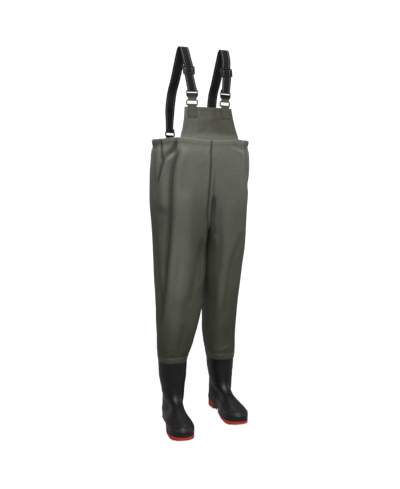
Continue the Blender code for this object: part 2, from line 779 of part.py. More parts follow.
def slider_weave(centre):
    """Webbing through the slider: behind its outer bars and over its middle bar."""
    outer = SLIDER_SIZE[1] / 2
    slip = (SLIDER_THICK + WEB) / 2 + LIE
    edge = SLIDER_MIDDLE / 2 + GAP
    inside = outer - SLIDER_BAR - GAP
    clear = outer + 3 * WEB
    offsets = ((-clear, 0), (-outer, slip), (-inside, slip), (-edge, -slip),
               (edge, -slip), (inside, slip), (outer, slip), (clear, 0))
    along = Vector((0, math.sin(SLIDER_LEAN), math.cos(SLIDER_LEAN)))
    away = Vector((0, math.cos(SLIDER_LEAN), -math.sin(SLIDER_LEAN)))
    return [centre + along * s + away * d for s, d in offsets]


def through(points, steps):
    """Points on a smooth curve through the given ones."""
    knots = np.arange(len(points))
    result = []
    for i in range((len(points) - 1) * steps + 1):
        u = i / steps
        result.append(Vector([curve_value(knots, [p[k] for p in points], u) for k in range(3)]))
    return result


def make_brace(name, side, parent, front, back):
    """Webbing from round the buckle's bar, through the slider, over the shoulder and round the back ring.
    front and back are each a bar's middle and its turn about Z."""
    front_bar, front_turn = front
    back_bar, back_turn = back
    start = wrap(front_bar, bar_radius(BUCKLE_BAR, BUCKLE_THICK, WEB), 0, -180, front_turn)
    start.insert(0, start[0] + Vector((0, 0, TAIL)))
    weave = slider_weave(Vector((side * SLIDER_CENTRE[0], SLIDER_CENTRE[1], SLIDER_CENTRE[2])))
    rise = [start[-1].lerp(weave[0], share) for share in RISE_SHARES]
    end = wrap(back_bar, RING_WRAP, 0, -180, back_turn)
    over = [weave[-1]] + [Vector((side * x, y, z)) for x, y, z in SHOULDER_RUN]
    over.append(end[0] + Vector((0, 0, RING_HEIGHT)))
    over = through(over, SHOULDER_STEPS)
    end.append(end[-1] + Vector((0, 0, TAIL)) - behind(back_turn) * TAIL / 3)
    path = start + rise + weave[:-1] + over + end
    turns = [front_turn] * len(start) + [mix(front_turn, 0, share) for share in RISE_SHARES]
    turns += [0.0] * (len(weave) - 1)
    turns += [back_turn * smooth(TWIST_START, 1, i / (len(over) - 1)) for i in range(len(over))]
    turns += [back_turn] * len(end)
    bm = strip(path, [WEB_WIDTH] * len(path), turns, WEB)
    add_object(name, to_mesh(bm, name), "black_webbing", parent)


def make_slider(name, side, parent):
    width, height = SLIDER_SIZE
    slot = (height - 2 * SLIDER_BAR - SLIDER_MIDDLE) / 2
    middle = (SLIDER_MIDDLE + slot) / 2
    wide = WEB_WIDTH + SLIDER_ROOM
    holes = [rounded_box(wide, slot, SLIDER_HOLE_CORNER, (0, way * middle)) for way in (1, -1)]
    edge = rounded_box(width, height, SLIDER_CORNER)
    centre = (side * SLIDER_CENTRE[0], SLIDER_CENTRE[1], SLIDER_CENTRE[2])
    add_plate(name, [edge] + holes, SLIDER_THICK, "black_plastic", parent, centre, 0.0, SLIDER_LEAN)


def waist_back(x, height):
    """Y of the outside of the waist hem at the back, where the waist rises."""
    return torso_skin(x, min(height - WAIST_RISE, TORSO[0][0]), 1) + HEM_STEP


def surface_turn(surface, x, height):
    """Turn about Z of a surface's tangent at x."""
    return math.atan((surface(x + GAP, height) - surface(x - GAP, height)) / (2 * GAP))


def make_braces(parent):
    for end, side, *_ in STANCE:
        front_x = side * BRACE_X
        turn = surface_turn(bib_front, front_x, BIB[-1][0])
        on_bib = Vector((front_x, bib_front(front_x, BIB[-1][0]), FRONT_RING_Z))
        ring = on_bib + behind(turn) * (RING_WRAP - TAB_STANDOFF)
        upper_bar, lower_bar = ring_bars(ring)
        add_ring("front_ring_" + end, "olive_plastic", parent, ring, turn)
        make_tab("front_tab_" + end, "olive_webbing", parent, bib_front, TAB_FOOT_Z,
                 lower_bar, turn, -1)
        buckle_bar = make_buckle("buckle_" + end, parent, upper_bar, turn)
        make_slider("slider_" + end, side, parent)
        back_x = side * BACK_X
        waist = TORSO[0][0] + WAIST_RISE
        back_turn = surface_turn(waist_back, back_x, waist)
        on_waist = Vector((back_x, waist_back(back_x, waist), BACK_RING_Z))
        back_ring = on_waist - behind(back_turn) * (RING_WRAP - TAB_STANDOFF)
        back_upper, back_lower = ring_bars(back_ring)
        add_ring("back_ring_" + end, "black_plastic", parent, back_ring, back_turn)
        make_tab("back_tab_" + end, "black_webbing", parent, waist_back, BACK_TAB_FOOT_Z,
                 back_lower, back_turn, 1)
        make_brace("brace_" + end, side, parent, (buckle_bar, turn), (back_upper, back_turn))


# Assembly

def centre_on_origin(root):
    """Move the whole object so that the middle of its box lies over the origin."""
    bpy.context.view_layer.update()
    graph = bpy.context.evaluated_depsgraph_get()
    spots = []
    for obj in PARTS.objects:
        if obj.type == "MESH":
            shown = obj.evaluated_get(graph)
            spots += [shown.matrix_world @ vertex.co for vertex in shown.data.vertices]
    for axis in range(2):
        values = [spot[axis] for spot in spots]
        root.location[axis] -= (min(values) + max(values)) / 2


def main():
    root = add_empty("waders")
    make_trousers(root)
    make_bib(root)
    for end, side, heel_x, heel_y, toe_out in STANCE:
        foot = add_empty("foot_" + end, root, (heel_x, heel_y, 0), side * math.radians(toe_out))
        make_boot_upper("boot_upper_" + end, side, foot)
        make_outsole("outsole_" + end, side, foot)
        make_insole("insole_" + end, side, foot)
    make_braces(root)
    centre_on_origin(root)


main()
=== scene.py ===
import math
from collections import namedtuple

import bpy
import numpy as np
from mathutils import Matrix, Vector, noise


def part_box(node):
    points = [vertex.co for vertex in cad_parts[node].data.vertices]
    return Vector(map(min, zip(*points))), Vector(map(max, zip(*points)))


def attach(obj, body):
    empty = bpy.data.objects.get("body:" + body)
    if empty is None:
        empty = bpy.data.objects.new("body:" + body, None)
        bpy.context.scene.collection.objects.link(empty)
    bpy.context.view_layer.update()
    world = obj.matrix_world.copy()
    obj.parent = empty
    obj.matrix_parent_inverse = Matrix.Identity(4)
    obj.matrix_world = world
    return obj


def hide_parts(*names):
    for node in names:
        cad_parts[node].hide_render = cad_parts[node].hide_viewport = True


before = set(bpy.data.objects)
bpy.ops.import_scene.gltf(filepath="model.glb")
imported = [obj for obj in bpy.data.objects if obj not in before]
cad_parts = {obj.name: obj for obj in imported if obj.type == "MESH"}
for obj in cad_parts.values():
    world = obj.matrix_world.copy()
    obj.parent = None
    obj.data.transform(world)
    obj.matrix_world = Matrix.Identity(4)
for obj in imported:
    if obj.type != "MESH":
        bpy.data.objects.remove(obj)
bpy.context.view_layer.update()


# Curves and tables

def mix(a, b, share):
    return a + (b - a) * share


def smooth(low, high, x):
    """0 below low, 1 above high, with a soft rise between them."""
    u = np.clip((np.asarray(x, float) - low) / (high - low), 0.0, 1.0)
    return u * u * (3 - 2 * u)


def bell(distance, width):
    return np.exp(-(distance / width) ** 2)


def signed_power(value, power):
    return np.sign(value) * np.abs(value) ** power


def through(xs, ys, x):
    """Values at x of a smooth curve through points, which doesn't swing past them."""
    slopes = np.diff(ys) / np.diff(xs)
    turn = slopes[:-1] * slopes[1:]
    total = np.where(turn > 0, slopes[:-1] + slopes[1:], 1.0)
    inner = np.where(turn > 0, 2 * turn / total, 0.0)
    tangents = np.concatenate([slopes[:1], inner, slopes[-1:]])
    x = np.clip(np.asarray(x, float), xs[0], xs[-1])
    i = np.clip(np.searchsorted(xs, x, side="right") - 1, 0, len(xs) - 2)
    span = xs[i + 1] - xs[i]
    u = (x - xs[i]) / span
    start = (1 + 2 * u) * (1 - u) ** 2 * ys[i] + u * (1 - u) ** 2 * span * tangents[i]
    end = u * u * (3 - 2 * u) * ys[i + 1] + u * u * (u - 1) * span * tangents[i + 1]
    return start + end


class Table:
    """Sections of a form: a row for each, ordered by the first column."""

    def __init__(self, columns, *rows):
        self.columns = columns
        self.rows = np.array(sorted(rows), float)
        self.low = self.rows[0, 0]
        self.high = self.rows[-1, 0]

    def column(self, name):
        return self.rows[:, self.columns.index(name)]

    def at(self, name, x):
        """Value on a smooth curve through a column."""
        return through(self.rows[:, 0], self.column(name), x)

    def straight(self, name, x):
        """Value on straight lines through a column."""
        return np.interp(x, self.rows[:, 0], self.column(name))


def dense(places, steps):
    """Rows on a smooth curve through the given rows."""
    places = np.array(places, float)
    knots = np.arange(len(places), dtype=float)
    at = np.linspace(0, len(places) - 1, (len(places) - 1) * steps + 1)
    return np.stack([through(knots, column, at) for column in places.T], axis=-1)


# Stance of each boot
Stance = namedtuple("Stance", "name side heel_x heel_y toe_out")
STANCES = {
    "right": Stance("right", -1, -0.144, -0.020, math.radians(3.5)),
    "left": Stance("left", 1, 0.085, 0.058, math.radians(3.0)),
}

# Trousers above the crotch
TORSO = Table(
    ("height", "half_width", "front", "back", "valley"),
    (1.167, 0.2030, -0.153, 0.137, 0.000),
    (1.100, 0.2090, -0.146, 0.142, 0.000),
    (1.030, 0.2125, -0.135, 0.147, 0.004),
    (0.960, 0.2125, -0.127, 0.149, 0.010),
    (0.890, 0.2115, -0.123, 0.148, 0.020),
    (0.830, 0.2085, -0.122, 0.146, 0.030),
)
# Each trouser leg below the crotch
LEG = Table(
    ("height", "centre_x", "centre_y", "half_width", "half_depth"),
    (0.700, 0.1030, 0.008, 0.0980, 0.1170),
    (0.620, 0.1015, 0.002, 0.0930, 0.1100),
    (0.547, 0.1010, -0.005, 0.0890, 0.1030),
    (0.470, 0.1030, -0.013, 0.0830, 0.0960),
    (0.384, 0.1085, -0.026, 0.0755, 0.0870),
    (0.311, 0.1145, -0.037, 0.0680, 0.0780),
    (0.281, 0.1165, -0.0415, 0.0650, 0.0750),
    (0.238, 0.1180, -0.044, 0.0579, 0.0680),
)
# Sideways shift of the line between the legs
DIVIDE = Table(
    ("height", "shift"),
    (0.300, 0.000),
    (0.420, 0.010),
    (0.520, 0.018),
    (0.700, 0.021),
    (0.830, 0.019),
    (1.000, 0.011),
    (1.110, 0.000),
)
DIVIDE_WIDTH = 0.075        # half width of the cloth that goes with it
# Cloth that hangs full on the inside of each leg
FULLNESS = Table(
    ("height", "right", "left"),
    (0.275, 0.000, 0.000),
    (0.335, 0.015, 0.000),
    (0.400, 0.018, -0.005),
    (0.470, 0.018, -0.007),
    (0.530, 0.010, -0.003),
    (0.600, 0.013, 0.002),
    (0.690, 0.0085, 0.0045),
    (0.745, 0.0040, 0.0025),
    (0.785, 0.000, 0.000),
)
WAIST = TORSO.high
FORK = TORSO.low
THIGH = LEG.high
HEM = LEG.low
CLOTH = 0.0012
TORSO_POWER = 2.5           # 2 is an ellipse, more is squarer
LEG_POWER = 2.15
VALLEY_WIDTH = 0.055        # half width of the hollow between the thighs, at the front
SEAT_VALLEY = 0.35          # depth of the same hollow at the seat, as a share of the front's
CROTCH_DROP = 0.042
CROTCH_POWER = 2.4
COLUMN_CROWD = 0.5          # how far columns draw together at the front and back middles
INNER_ANGLE = math.radians(50)      # half of a leg's inner side, on its section
STANCE_REACH = (0.27, 0.785)        # heights over which the legs come from the boots to the body
HEM_HEIGHT = 0.018          # folded waist hem
HEM_STEP = 0.0014
HEM_FRONT = 0.45            # share of the step left at the front middle, where the hem is pressed flat
HEM_FRONT_REACH = (0.10, 0.30)
BAND_HEIGHT = 0.025         # welded band round each leg's hem
BAND_STEP = 0.0012
HEM_LIFT = {"right": 0.021, "left": -0.003}     # how the legs have settled on the boots
HEM_LIFT_FADE = (0.03, 0.30)        # heights over the hem
STEP_RUN = 0.0030           # height over which a step comes out
WAIST_DIP = 0.011           # the waist's edge dips at the front and rises to the back
WAIST_DIP_WIDTH = 0.075
WAIST_RISE = 0.020
WAIST_FADE = 0.100

# Mesh density of the cloth
HALF_STEPS = 130            # columns of half the torso, which go on down the outside of each leg
MIDDLE_CROWD = 0.6          # how far they draw together further for the seams
INNER_STEPS = 26            # columns of the inside of each leg
TORSO_ROWS = 54
THIGH_ROWS = 20
LEG_ROWS = 74
EDGE_ROWS = 5               # rows of the waist hem and of the welded bands
SAME_ROW = 1e-6             # heights this close are one row

# Boots: stations and reaches run along the sole, from the back of the heel forward
BOOT_WALL = 0.0026
BOOT_LENGTH = 0.299
HEEL_ROUND = 0.125          # share of the length that the heel's curve takes
TOE_ROUND = 0.185
OUTLINE = Table(
    ("station", "outer", "inner"),
    (0.00, 0.0350, 0.0350),
    (0.12, 0.0350, 0.0345),
    (0.24, 0.0345, 0.0325),
    (0.36, 0.0355, 0.0295),
    (0.50, 0.0410, 0.0350),
    (0.65, 0.0470, 0.0440),
    (0.78, 0.0455, 0.0455),
    (0.90, 0.0420, 0.0440),
    (1.00, 0.0390, 0.0415),
)
BOOT = Table(
    ("height", "back", "front", "half_width", "foot", "inset"),
    (0.0500, 0.0000, 0.2990, 0.0480, 1.00, 0.0000),
    (0.0512, 0.0004, 0.2975, 0.0480, 1.00, 0.0006),
    (0.0640, 0.0020, 0.2870, 0.0470, 0.98, 0.0085),
    (0.0770, 0.0040, 0.2590, 0.0455, 0.93, 0.0175),
    (0.0890, 0.0060, 0.2090, 0.0435, 0.84, 0.0230),
    (0.1010, 0.0075, 0.1675, 0.0420, 0.70, 0.0230),
    (0.1160, 0.0085, 0.1450, 0.0420, 0.45, 0.0160),
    (0.1360, 0.0085, 0.1355, 0.0440, 0.18, 0.0060),
    (0.1650, 0.0065, 0.1325, 0.0485, 0.00, 0.0000),
    (0.2000, 0.0040, 0.1330, 0.0540, 0.00, 0.0000),
    (0.2700, 0.0020, 0.1370, 0.0575, 0.00, 0.0000),
)
SOLE = Table(
    ("station", "top", "edge"),
    (0.0015, 0.0420, 0.0030),
    (0.0200, 0.0400, 0.0030),
    (0.0700, 0.0350, 0.0030),
    (0.2580, 0.0303, 0.0030),
    (0.4220, 0.0262, 0.0030),
    (0.7600, 0.0260, 0.0034),
    (0.8800, 0.0285, 0.0036),
    (0.9500, 0.0325, 0.0036),
    (0.9985, 0.0365, 0.0036),
)
SHAFT_REACH = mix(BOOT.at("back", BOOT.high), BOOT.at("front", BOOT.high), 0.5)
INSET_OUTER = 1.3           # the outer side of the vamp draws in further than the inner side
INSET_REACH = (0.05, 0.15)  # distance from the heel over which the vamp starts to draw in
RAND_HEIGHT = 0.0500        # top of the thicker rubber round the foot
RAND_STEP = 0.0018
RAND_EASE = (0.0007, 0.7, 0.4)      # height over the rand, and shares of its step and of the spur there
GAP = 0.0003
ARCH_FLAP = (0.275, 0.292, 0.400, 0.4165)       # the upper comes down over the arch between these
ARCH_FLAP_HEIGHT = 0.0105
FOOT_SHARES = (0.0, 0.04, 0.35, 0.68)           # rows from the sole's top line to the rand's top
SPUR = 0.0055               # kick-off ledge at the back of the heel
SPUR_LOW = 0.0462
SPUR_REACH = 0.030
SPUR_EASE = 0.0006
BOOT_COLUMN_STEPS = 140     # columns along each side of the foot
BOOT_ROWS = 110
END_STATION = 1e-5          # the end columns lie this share of the length off the ends
TOE_DROP = 0.34             # share of its height that the upper comes down by at the toe
TOE_DROP_REACH = (0.18, 0.29)

# Soft troughs and ridges of the boot, in its own frame: x is outward, reach is forward of the heel
BOOT_FOLDS = (
    # half width, depth (+ is a ridge), places as (x, reach, height)
    (0.0100, -0.0012, ((0.044, 0.050, 0.124), (0.046, 0.085, 0.140), (0.036, 0.116, 0.164),
                       (0.020, 0.130, 0.190))),
    (0.0090, -0.0012, ((-0.040, 0.030, 0.118), (-0.020, 0.010, 0.124), (0.000, 0.007, 0.126),
                       (0.022, 0.010, 0.123))),
    (0.0100, 0.0010, ((-0.048, 0.050, 0.180), (-0.052, 0.070, 0.205), (-0.050, 0.095, 0.232))),
    (0.0040, 0.0012, ((-0.0360, 0.2420, 0.0640), (-0.0260, 0.2620, 0.0690), (-0.0120, 0.2690, 0.0710),
                      (0.0000, 0.2710, 0.0716), (0.0120, 0.2690, 0.0710), (0.0260, 0.2600, 0.0690),
                      (0.0360, 0.2380, 0.0640))),
)
BOOT_FOLD_STEPS = 10
BOOT_FOLD_FADE = 0.12
BOOT_FOLD_START = (0.002, 0.008)    # heights over the rand at which the folds begin
BOOT_FOLD_END = (0.006, 0.022)      # heights below the trousers' hem at which they end

# Bib, braces and fittings
BIB = Table(
    ("height", "half_width", "lean"),
    (1.140, 0.1255, 0.00),
    (1.170, 0.1230, 0.06),
    (1.205, 0.1135, 0.34),
    (1.250, 0.1050, 0.68),
    (1.292, 0.1000, 1.00),
)
BIB_CLOTH = 0.0015
BIB_TUCK = 0.0006           # room between the bib and the trousers' cloth
BIB_TOP_MIDDLE_Y = -0.122
BIB_TOP_CURVE = 0.012
BIB_STEPS = 96
BIB_ROWS = 72
BIB_HEM = 0.013             # folded edge of the bib
BIB_HEM_STEP = 0.0007
BIB_HEM_RUN = 0.0016
WEB_WIDTH = 0.0385
WEB = 0.0018
TAB_WIDTH = 0.037
BRACE_X = 0.070
TAB_FOOT_Z = 1.250
RING_WIDTH = 0.048
RING_HEIGHT = 0.022
RING_BAR = 0.004
RING_SIDE = 0.0051
RING_THICK = 0.003
RING_CORNER = 0.0065
RING_EASE = 0.0011
FRONT_RING_Z = 1.3085
BUCKLE_TOP_Z = 1.357
BUCKLE_THICK = 0.0032
BUCKLE_BAR = 0.005
BUCKLE_WIDTH = 0.048
BUCKLE_WAIST = 0.034
BUCKLE_SLOT = (0.041, 0.0062)
BUCKLE_NECK = 0.018         # height over the ring's bar at which the buckle is at its full width
BUCKLE_TAPER = ((0.8, 0.25), (0.6, 0.85), (0.0, 1.0))     # shares of that height and of the narrowing
BUCKLE_CORNER = 0.005
BUCKLE_EASE = 0.0007
HOOK_STEPS = 10
SLIDER_CENTRE = (0.080, -0.104, 1.437)
SLIDER_LEAN = math.radians(13)
SLIDER_SIZE = (0.050, 0.036)
SLIDER_THICK = 0.0025
SLIDER_BAR = 0.004
SLIDER_MIDDLE = 0.006
SLIDER_CORNER = 0.0105
SLIDER_ROOM = 0.0008
SLIDER_EASE = 0.0008
SLIDER_CLEAR = 3 * WEB      # the webbing is flat again this far past the slider
CORNER_STEPS = 5
SHOULDER_RUN = (
    # x, y, z of the webbing between the slider and the ring at the back
    (0.0840, -0.0890, 1.4850),
    (0.0865, -0.0690, 1.5220),
    (0.0875, -0.0540, 1.5385),
    (0.0880, -0.0430, 1.5420),
    (0.0885, -0.0320, 1.5370),
    (0.0900, 0.0020, 1.4960),
    (0.0920, 0.0560, 1.4330),
    (0.0945, 0.1120, 1.3740),
    (0.0970, 0.1330, 1.3050),
)
SHOULDER_STEPS = 7
TWIST_START = 0.85          # share of the way over the shoulder where the webbing turns to its ring
REAR_WIDTH = 0.0420         # the elastic spreads and turns on its way down the back
REAR_TURN = math.radians(-16)
REAR_REACH = (0.42, 0.64)
BACK_X = 0.099
BACK_RING_Z = 1.2085
BACK_TAB_FOOT_Z = 1.148
LIE = 0.00045               # room between webbing and what it lies on
WRAP_STEPS = 10
WEAVE_STEPS = 4
TAIL = 0.012                # loose end past a bar
TAIL_AWAY = TAIL / 3        # how far the end at the back ring stands off
TAB_STEPS = 14
TAB_PAST = 20               # degrees that a tab goes on round its bar
RISE_SHARES = (0.06, 0.12, 0.25, 0.4, 0.55, 0.7, 0.85)
WEB_ACROSS = (-1.0, -0.985, -0.93, -0.62, -0.57, -0.52, 0.0, 0.52, 0.57, 0.62, 0.93, 0.985, 1.0)
WEB_SWELL = (0.0, 0.72, 1.0, 1.0, 0.9, 1.0, 1.0, 1.0, 0.9, 1.0, 1.0, 0.72, 0.0)
MITRE_LIMIT = 0.6           # keeps the webbing's wall from growing at a sharp bend
STITCH = (0.0030, 0.00085, 0.00055)     # length, width and height
STITCH_PITCH = 0.0043
STITCH_SIDES = 6
STITCH_PROFILE = (
    # share of the length, swell, share of the height
    (-0.5, 0.35, -0.5),
    (-0.28, 1.0, 0.1),
    (0.28, 1.0, 0.1),
    (0.5, 0.35, -0.5),
)
STITCH_INSET = 0.004        # stitches to the edge of a tab
STITCH_STEPS = 16
FRONT_STITCH_HEIGHT = 0.036         # top of the stitched box over the tab's foot
BACK_STITCH_HEIGHT = 0.034
SOLE_EASE = 0.0008
FOOTBED_EASE = 0.0006

# The frame's origin lies under the middle of the whole object, so the tables above are moved forward
FORWARD = sum(corner[1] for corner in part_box("slider_left")) / 2 - SLIDER_CENTRE[1]


# Folds of the trousers: soft troughs and ridges
FOLDS = (
    # side, half width, depth (+ is a ridge), lap, places as (share of the way round, height)
    # creases of the wearer's right side, from the gathers down to the boot
    ("right", 0.0150, -0.0100, 0.45, ((0.240, 1.150), (0.246, 1.125), (0.256, 1.093), (0.270, 1.063),
                                      (0.278, 1.031), (0.284, 1.001), (0.288, 0.953), (0.296, 0.855),
                                      (0.334, 0.741), (0.364, 0.628), (0.386, 0.482), (0.410, 0.350))),
    ("right", 0.0105, -0.0095, 0.45, ((0.250, 1.168), (0.260, 1.151), (0.280, 1.125), (0.310, 1.105),
                                      (0.346, 1.087), (0.362, 1.066), (0.373, 1.045), (0.388, 1.017),
                                      (0.404, 0.988), (0.412, 0.950))),
    ("right", 0.0080, -0.0070, 0.40, ((0.402, 1.168), (0.398, 1.149), (0.388, 1.127), (0.380, 1.101),
                                      (0.368, 1.070))),
    ("right", 0.0200, 0.0050, 0.00, ((0.300, 1.115), (0.322, 1.060), (0.338, 1.000), (0.345, 0.930),
                                     (0.352, 0.870))),
    ("right", 0.0125, -0.0038, 0.35, ((0.490, 1.168), (0.470, 1.110), (0.454, 1.045), (0.446, 0.980),
                                      (0.440, 0.915))),
    ("right", 0.0200, -0.0024, 0.20, ((0.470, 0.885), (0.378, 0.871), (0.318, 0.847))),
    ("right", 0.0120, -0.0045, 0.40, ((0.452, 0.820), (0.444, 0.706), (0.430, 0.576), (0.410, 0.470),
                                      (0.412, 0.360))),
    ("right", 0.0150, -0.0050, 0.30, ((0.030, 0.780), (0.054, 0.713), (0.088, 0.634), (0.110, 0.546),
                                      (0.105, 0.470))),
    ("right", 0.0110, -0.0040, 0.30, ((0.000, 0.760), (0.008, 0.700), (0.020, 0.630), (0.030, 0.560))),
    ("right", 0.0140, -0.0030, 0.30, ((0.150, 0.420), (0.165, 0.350), (0.185, 0.285))),
    ("right", 0.0300, 0.0045, 0.00, ((0.170, 0.980), (0.180, 0.880), (0.195, 0.740), (0.210, 0.600),
                                     (0.230, 0.470))),
    # the wearer's left side
    ("left", 0.0065, -0.0045, 0.15, ((0.018, 1.040), (0.015, 0.960), (0.012, 0.900), (0.008, 0.840),
                                     (0.004, 0.785))),
    ("left", 0.0100, -0.0075, 0.15, ((0.018, 0.945), (0.014, 0.890), (0.010, 0.845), (0.005, 0.800),
                                     (0.002, 0.760))),
    ("left", 0.0140, -0.0045, 0.35, ((0.300, 0.790), (0.278, 0.735), (0.228, 0.668), (0.204, 0.600),
                                     (0.196, 0.488), (0.190, 0.400))),
    ("left", 0.0150, -0.0020, 0.30, ((0.055, 0.790), (0.040, 0.690), (0.045, 0.600))),
    ("left", 0.0280, 0.0040, 0.00, ((0.150, 0.960), (0.155, 0.840), (0.150, 0.700), (0.150, 0.560),
                                    (0.155, 0.440))),
    ("left", 0.0100, -0.0060, 0.50, ((0.308, 1.155), (0.332, 1.095), (0.358, 1.021), (0.400, 0.940))),
    ("left", 0.0090, -0.0045, 0.45, ((0.158, 1.149), (0.234, 1.137), (0.306, 1.119))),
    ("left", 0.0120, -0.0060, 0.50, ((0.430, 1.150), (0.420, 1.060), (0.410, 0.930), (0.400, 0.800),
                                     (0.400, 0.640), (0.410, 0.480), (0.425, 0.350))),
    ("left", 0.0130, -0.0030, 0.30, ((0.300, 0.560), (0.290, 0.450), (0.300, 0.330))),
    # wrinkles where the cloth settles on the boots
    ("left", 0.0055, -0.0026, 0.60, ((-0.010, 0.292), (0.060, 0.283), (0.160, 0.292), (0.230, 0.306))),
    ("left", 0.0050, -0.0024, 0.60, ((0.000, 0.272), (0.090, 0.266), (0.180, 0.273))),
    ("right", 0.0060, -0.0022, 0.60, ((0.120, 0.292), (0.220, 0.283), (0.320, 0.291))),
    ("right", 0.0055, -0.0020, 0.60, ((0.240, 0.312), (0.340, 0.303), (0.430, 0.316))),
    # seat, back of the knees and calves
    ("right", 0.0190, -0.0040, 0.40, ((0.990, 0.800), (0.900, 0.770), (0.800, 0.735), (0.700, 0.725))),
    ("left", 0.0190, -0.0040, 0.40, ((0.990, 0.800), (0.900, 0.765), (0.790, 0.728), (0.690, 0.722))),
    ("right", 0.0110, -0.0040, 0.50, ((0.900, 0.535), (0.780, 0.515), (0.660, 0.530))),
    ("left", 0.0110, -0.0040, 0.50, ((0.910, 0.520), (0.790, 0.500), (0.670, 0.518))),
    ("right", 0.0100, -0.0032, 0.50, ((0.860, 0.480), (0.740, 0.462), (0.640, 0.476))),
    ("left", 0.0100, -0.0032, 0.50, ((0.870, 0.468), (0.750, 0.448), (0.640, 0.460))),
    ("right", 0.0150, -0.0045, 0.40, ((0.720, 1.120), (0.700, 1.000), (0.690, 0.880), (0.700, 0.760))),
    ("left", 0.0150, -0.0045, 0.40, ((0.700, 1.120), (0.710, 1.000), (0.690, 0.880), (0.685, 0.760))),
    ("right", 0.0130, -0.0035, 0.40, ((0.800, 0.440), (0.770, 0.360), (0.750, 0.290))),
    ("left", 0.0130, -0.0035, 0.40, ((0.790, 0.430), (0.780, 0.350), (0.740, 0.285))),
)
# Welded seams down the front and back middles, and the ridge that lies along the front one
SEAMS = (
    ("right", 0.0042, -0.0046, 0.00, ((0.000, 1.195), (0.000, 1.099), (0.010, 0.993), (0.018, 0.919),
                                      (0.026, 0.853), (0.014, 0.815), (0.000, 0.765))),
    ("right", 0.0036, -0.0020, 0.00, ((1.000, 1.200), (1.000, 1.060), (1.000, 0.940), (1.000, 0.800))),
)
SEAM_RIDGE = (
    ("right", 0.0080, 0.0024, 0.00, ((0.020, 1.170), (0.020, 1.099), (0.032, 0.993), (0.042, 0.919),
                                     (0.050, 0.853))),
)
SEAM_FADE = 0.05            # share of a seam's length over which it dies away at each end
FOLD_FADE = 0.16            # the same for a fold
FOLD_STEPS = 12
FOLD_REACH = 4.0            # half widths from a fold's line within which it shows
LAP_PLACE = 1.7             # half widths from a fold's line to the middle of its raised flank
LAP_WIDTH = 1.1
GATHER_PITCH = 0.0190       # elastic gathers round the sides and back of the waist
GATHER_DEPTH = 0.0064
GATHER_ROUND = 0.8          # 1 is a plain wave, less is fuller
GATHER_LEVEL = 0.55         # share of a puff that lies below the plain cloth
GATHER_STRENGTH = 0.75
GATHER_OFFSET = 0.5         # pitches between the gathers of each side and the front middle
GATHER_START = (0.26, 0.36)         # shares of the way round over which they begin
GATHER_FADE = 0.095         # height over which they die away
WAIST_PINCH = 0.0050        # the elastic draws the waist in below its edge
PINCH_DOWN = 0.026
PINCH_SPREAD = 0.016
WAIST_CLIMB = (0.3, 1.0)    # shares of the way round over which the waist's edge rises
WAIST_WAVE_DOWN = 0.07
WAIST_ARC_STEPS = 400
SLACK_START = (0.03, 0.14)  # heights over the hem at which the slack begins
PUFF_SHADE = 0.6            # how far puffs add to the folds' painted shade, beside folds

# Where the cloth is calm: at the fork, on the boots, by the bib and by the tabs
FORK_CALM = 0.85
FORK_CALM_WIDTH = 0.030
FORK_CALM_LOW = (0.66, 0.72)
FORK_CALM_HIGH = (0.82, 0.90)
BOOT_CALM = (0.004, 0.035)
BIB_CALM_SIDE = (0.0, 0.022)
BIB_CALM_DOWN = (-0.030, 0.0)
TAB_CALM_SIDE = (0.004, 0.018)
TAB_CALM_DOWN = (-0.030, -0.005)
BIB_TAB_SIDE = (0.022, 0.034)       # the same on the bib, by its own tabs and over the waist
BIB_TAB_DOWN = (-0.03, -0.01)
BIB_SLACK_START = (0.004, 0.03)
FORK_EASE = 0.5             # the fork's own form is drawn smooth
FORK_EASE_LOW = (0.60, 0.68)
FORK_EASE_HIGH = (0.86, 0.93)
FORK_EASE_ROUNDS = 24

# Soft random unevenness
WAVES = {
    # sizes along x, y and z, amount, seed
    "gather_wander": ((0.05, 0.05, 0.20), 0.35, 3.0),
    "gather_strength": ((0.06, 0.06, 0.50), 0.50, 9.0),
    "slack": ((0.075, 0.075, 0.280), 0.0042, 20.0),
    "crumple": ((0.030, 0.030, 0.110), 0.0012, 21.0),
    "waist_edge": ((0.055, 0.055, 0.50), 0.0045, 70.0),
    "bib_slack": ((0.070, 1.0, 0.055), 0.0022, 40.0),
    "bib_crumple": ((0.024, 1.0, 0.022), 0.0007, 44.0),
    "boot_right": ((0.04, 0.04, 0.05), 0.0007, 59.0),
    "boot_left": ((0.04, 0.04, 0.05), 0.0007, 61.0),
}


# Mesh tools

TINY = 1e-12
WELD_DECIMALS = 6
WELD = 10 ** -WELD_DECIMALS    # points this close are one


def pick(obj):
    bpy.ops.object.select_all(action="DESELECT")
    obj.select_set(True)
    bpy.context.view_layer.objects.active = obj


def add_object(name, data):
    obj = bpy.data.objects.new(name, data)
    bpy.context.scene.collection.objects.link(obj)
    return obj


def add_mesh(name, points, faces):
    mesh = bpy.data.meshes.new(name)
    mesh.from_pydata(points.tolist(), [], faces)
    mesh.shade_smooth()
    return add_object(name, mesh)


def edit_all(obj, *operations):
    """Run edit-mode operators, each given with its settings, on the whole of a mesh."""
    pick(obj)
    bpy.ops.object.mode_set(mode="EDIT")
    bpy.ops.mesh.select_all(action="SELECT")
    for operator, settings in operations:
        operator(**settings)
    bpy.ops.object.mode_set(mode="OBJECT")


def finish_with(obj, kind, **settings):
    """Add a modifier and apply it."""
    pick(obj)
    modifier = obj.modifiers.new(kind.lower(), kind)
    for key, value in settings.items():
        setattr(modifier, key, value)
    bpy.ops.object.modifier_apply(modifier=modifier.name)


def grid_faces(rows, columns, closed=False):
    """Quads of points that lie row by row; a closed grid joins its last column to its first."""
    index = np.arange(rows * columns).reshape(rows, columns)
    if closed:
        index = np.concatenate([index, index[:, :1]], axis=1)
    quads = np.stack([index[:-1, :-1], index[1:, :-1], index[1:, 1:], index[:-1, 1:]], axis=-1)
    return quads.reshape(-1, 4)


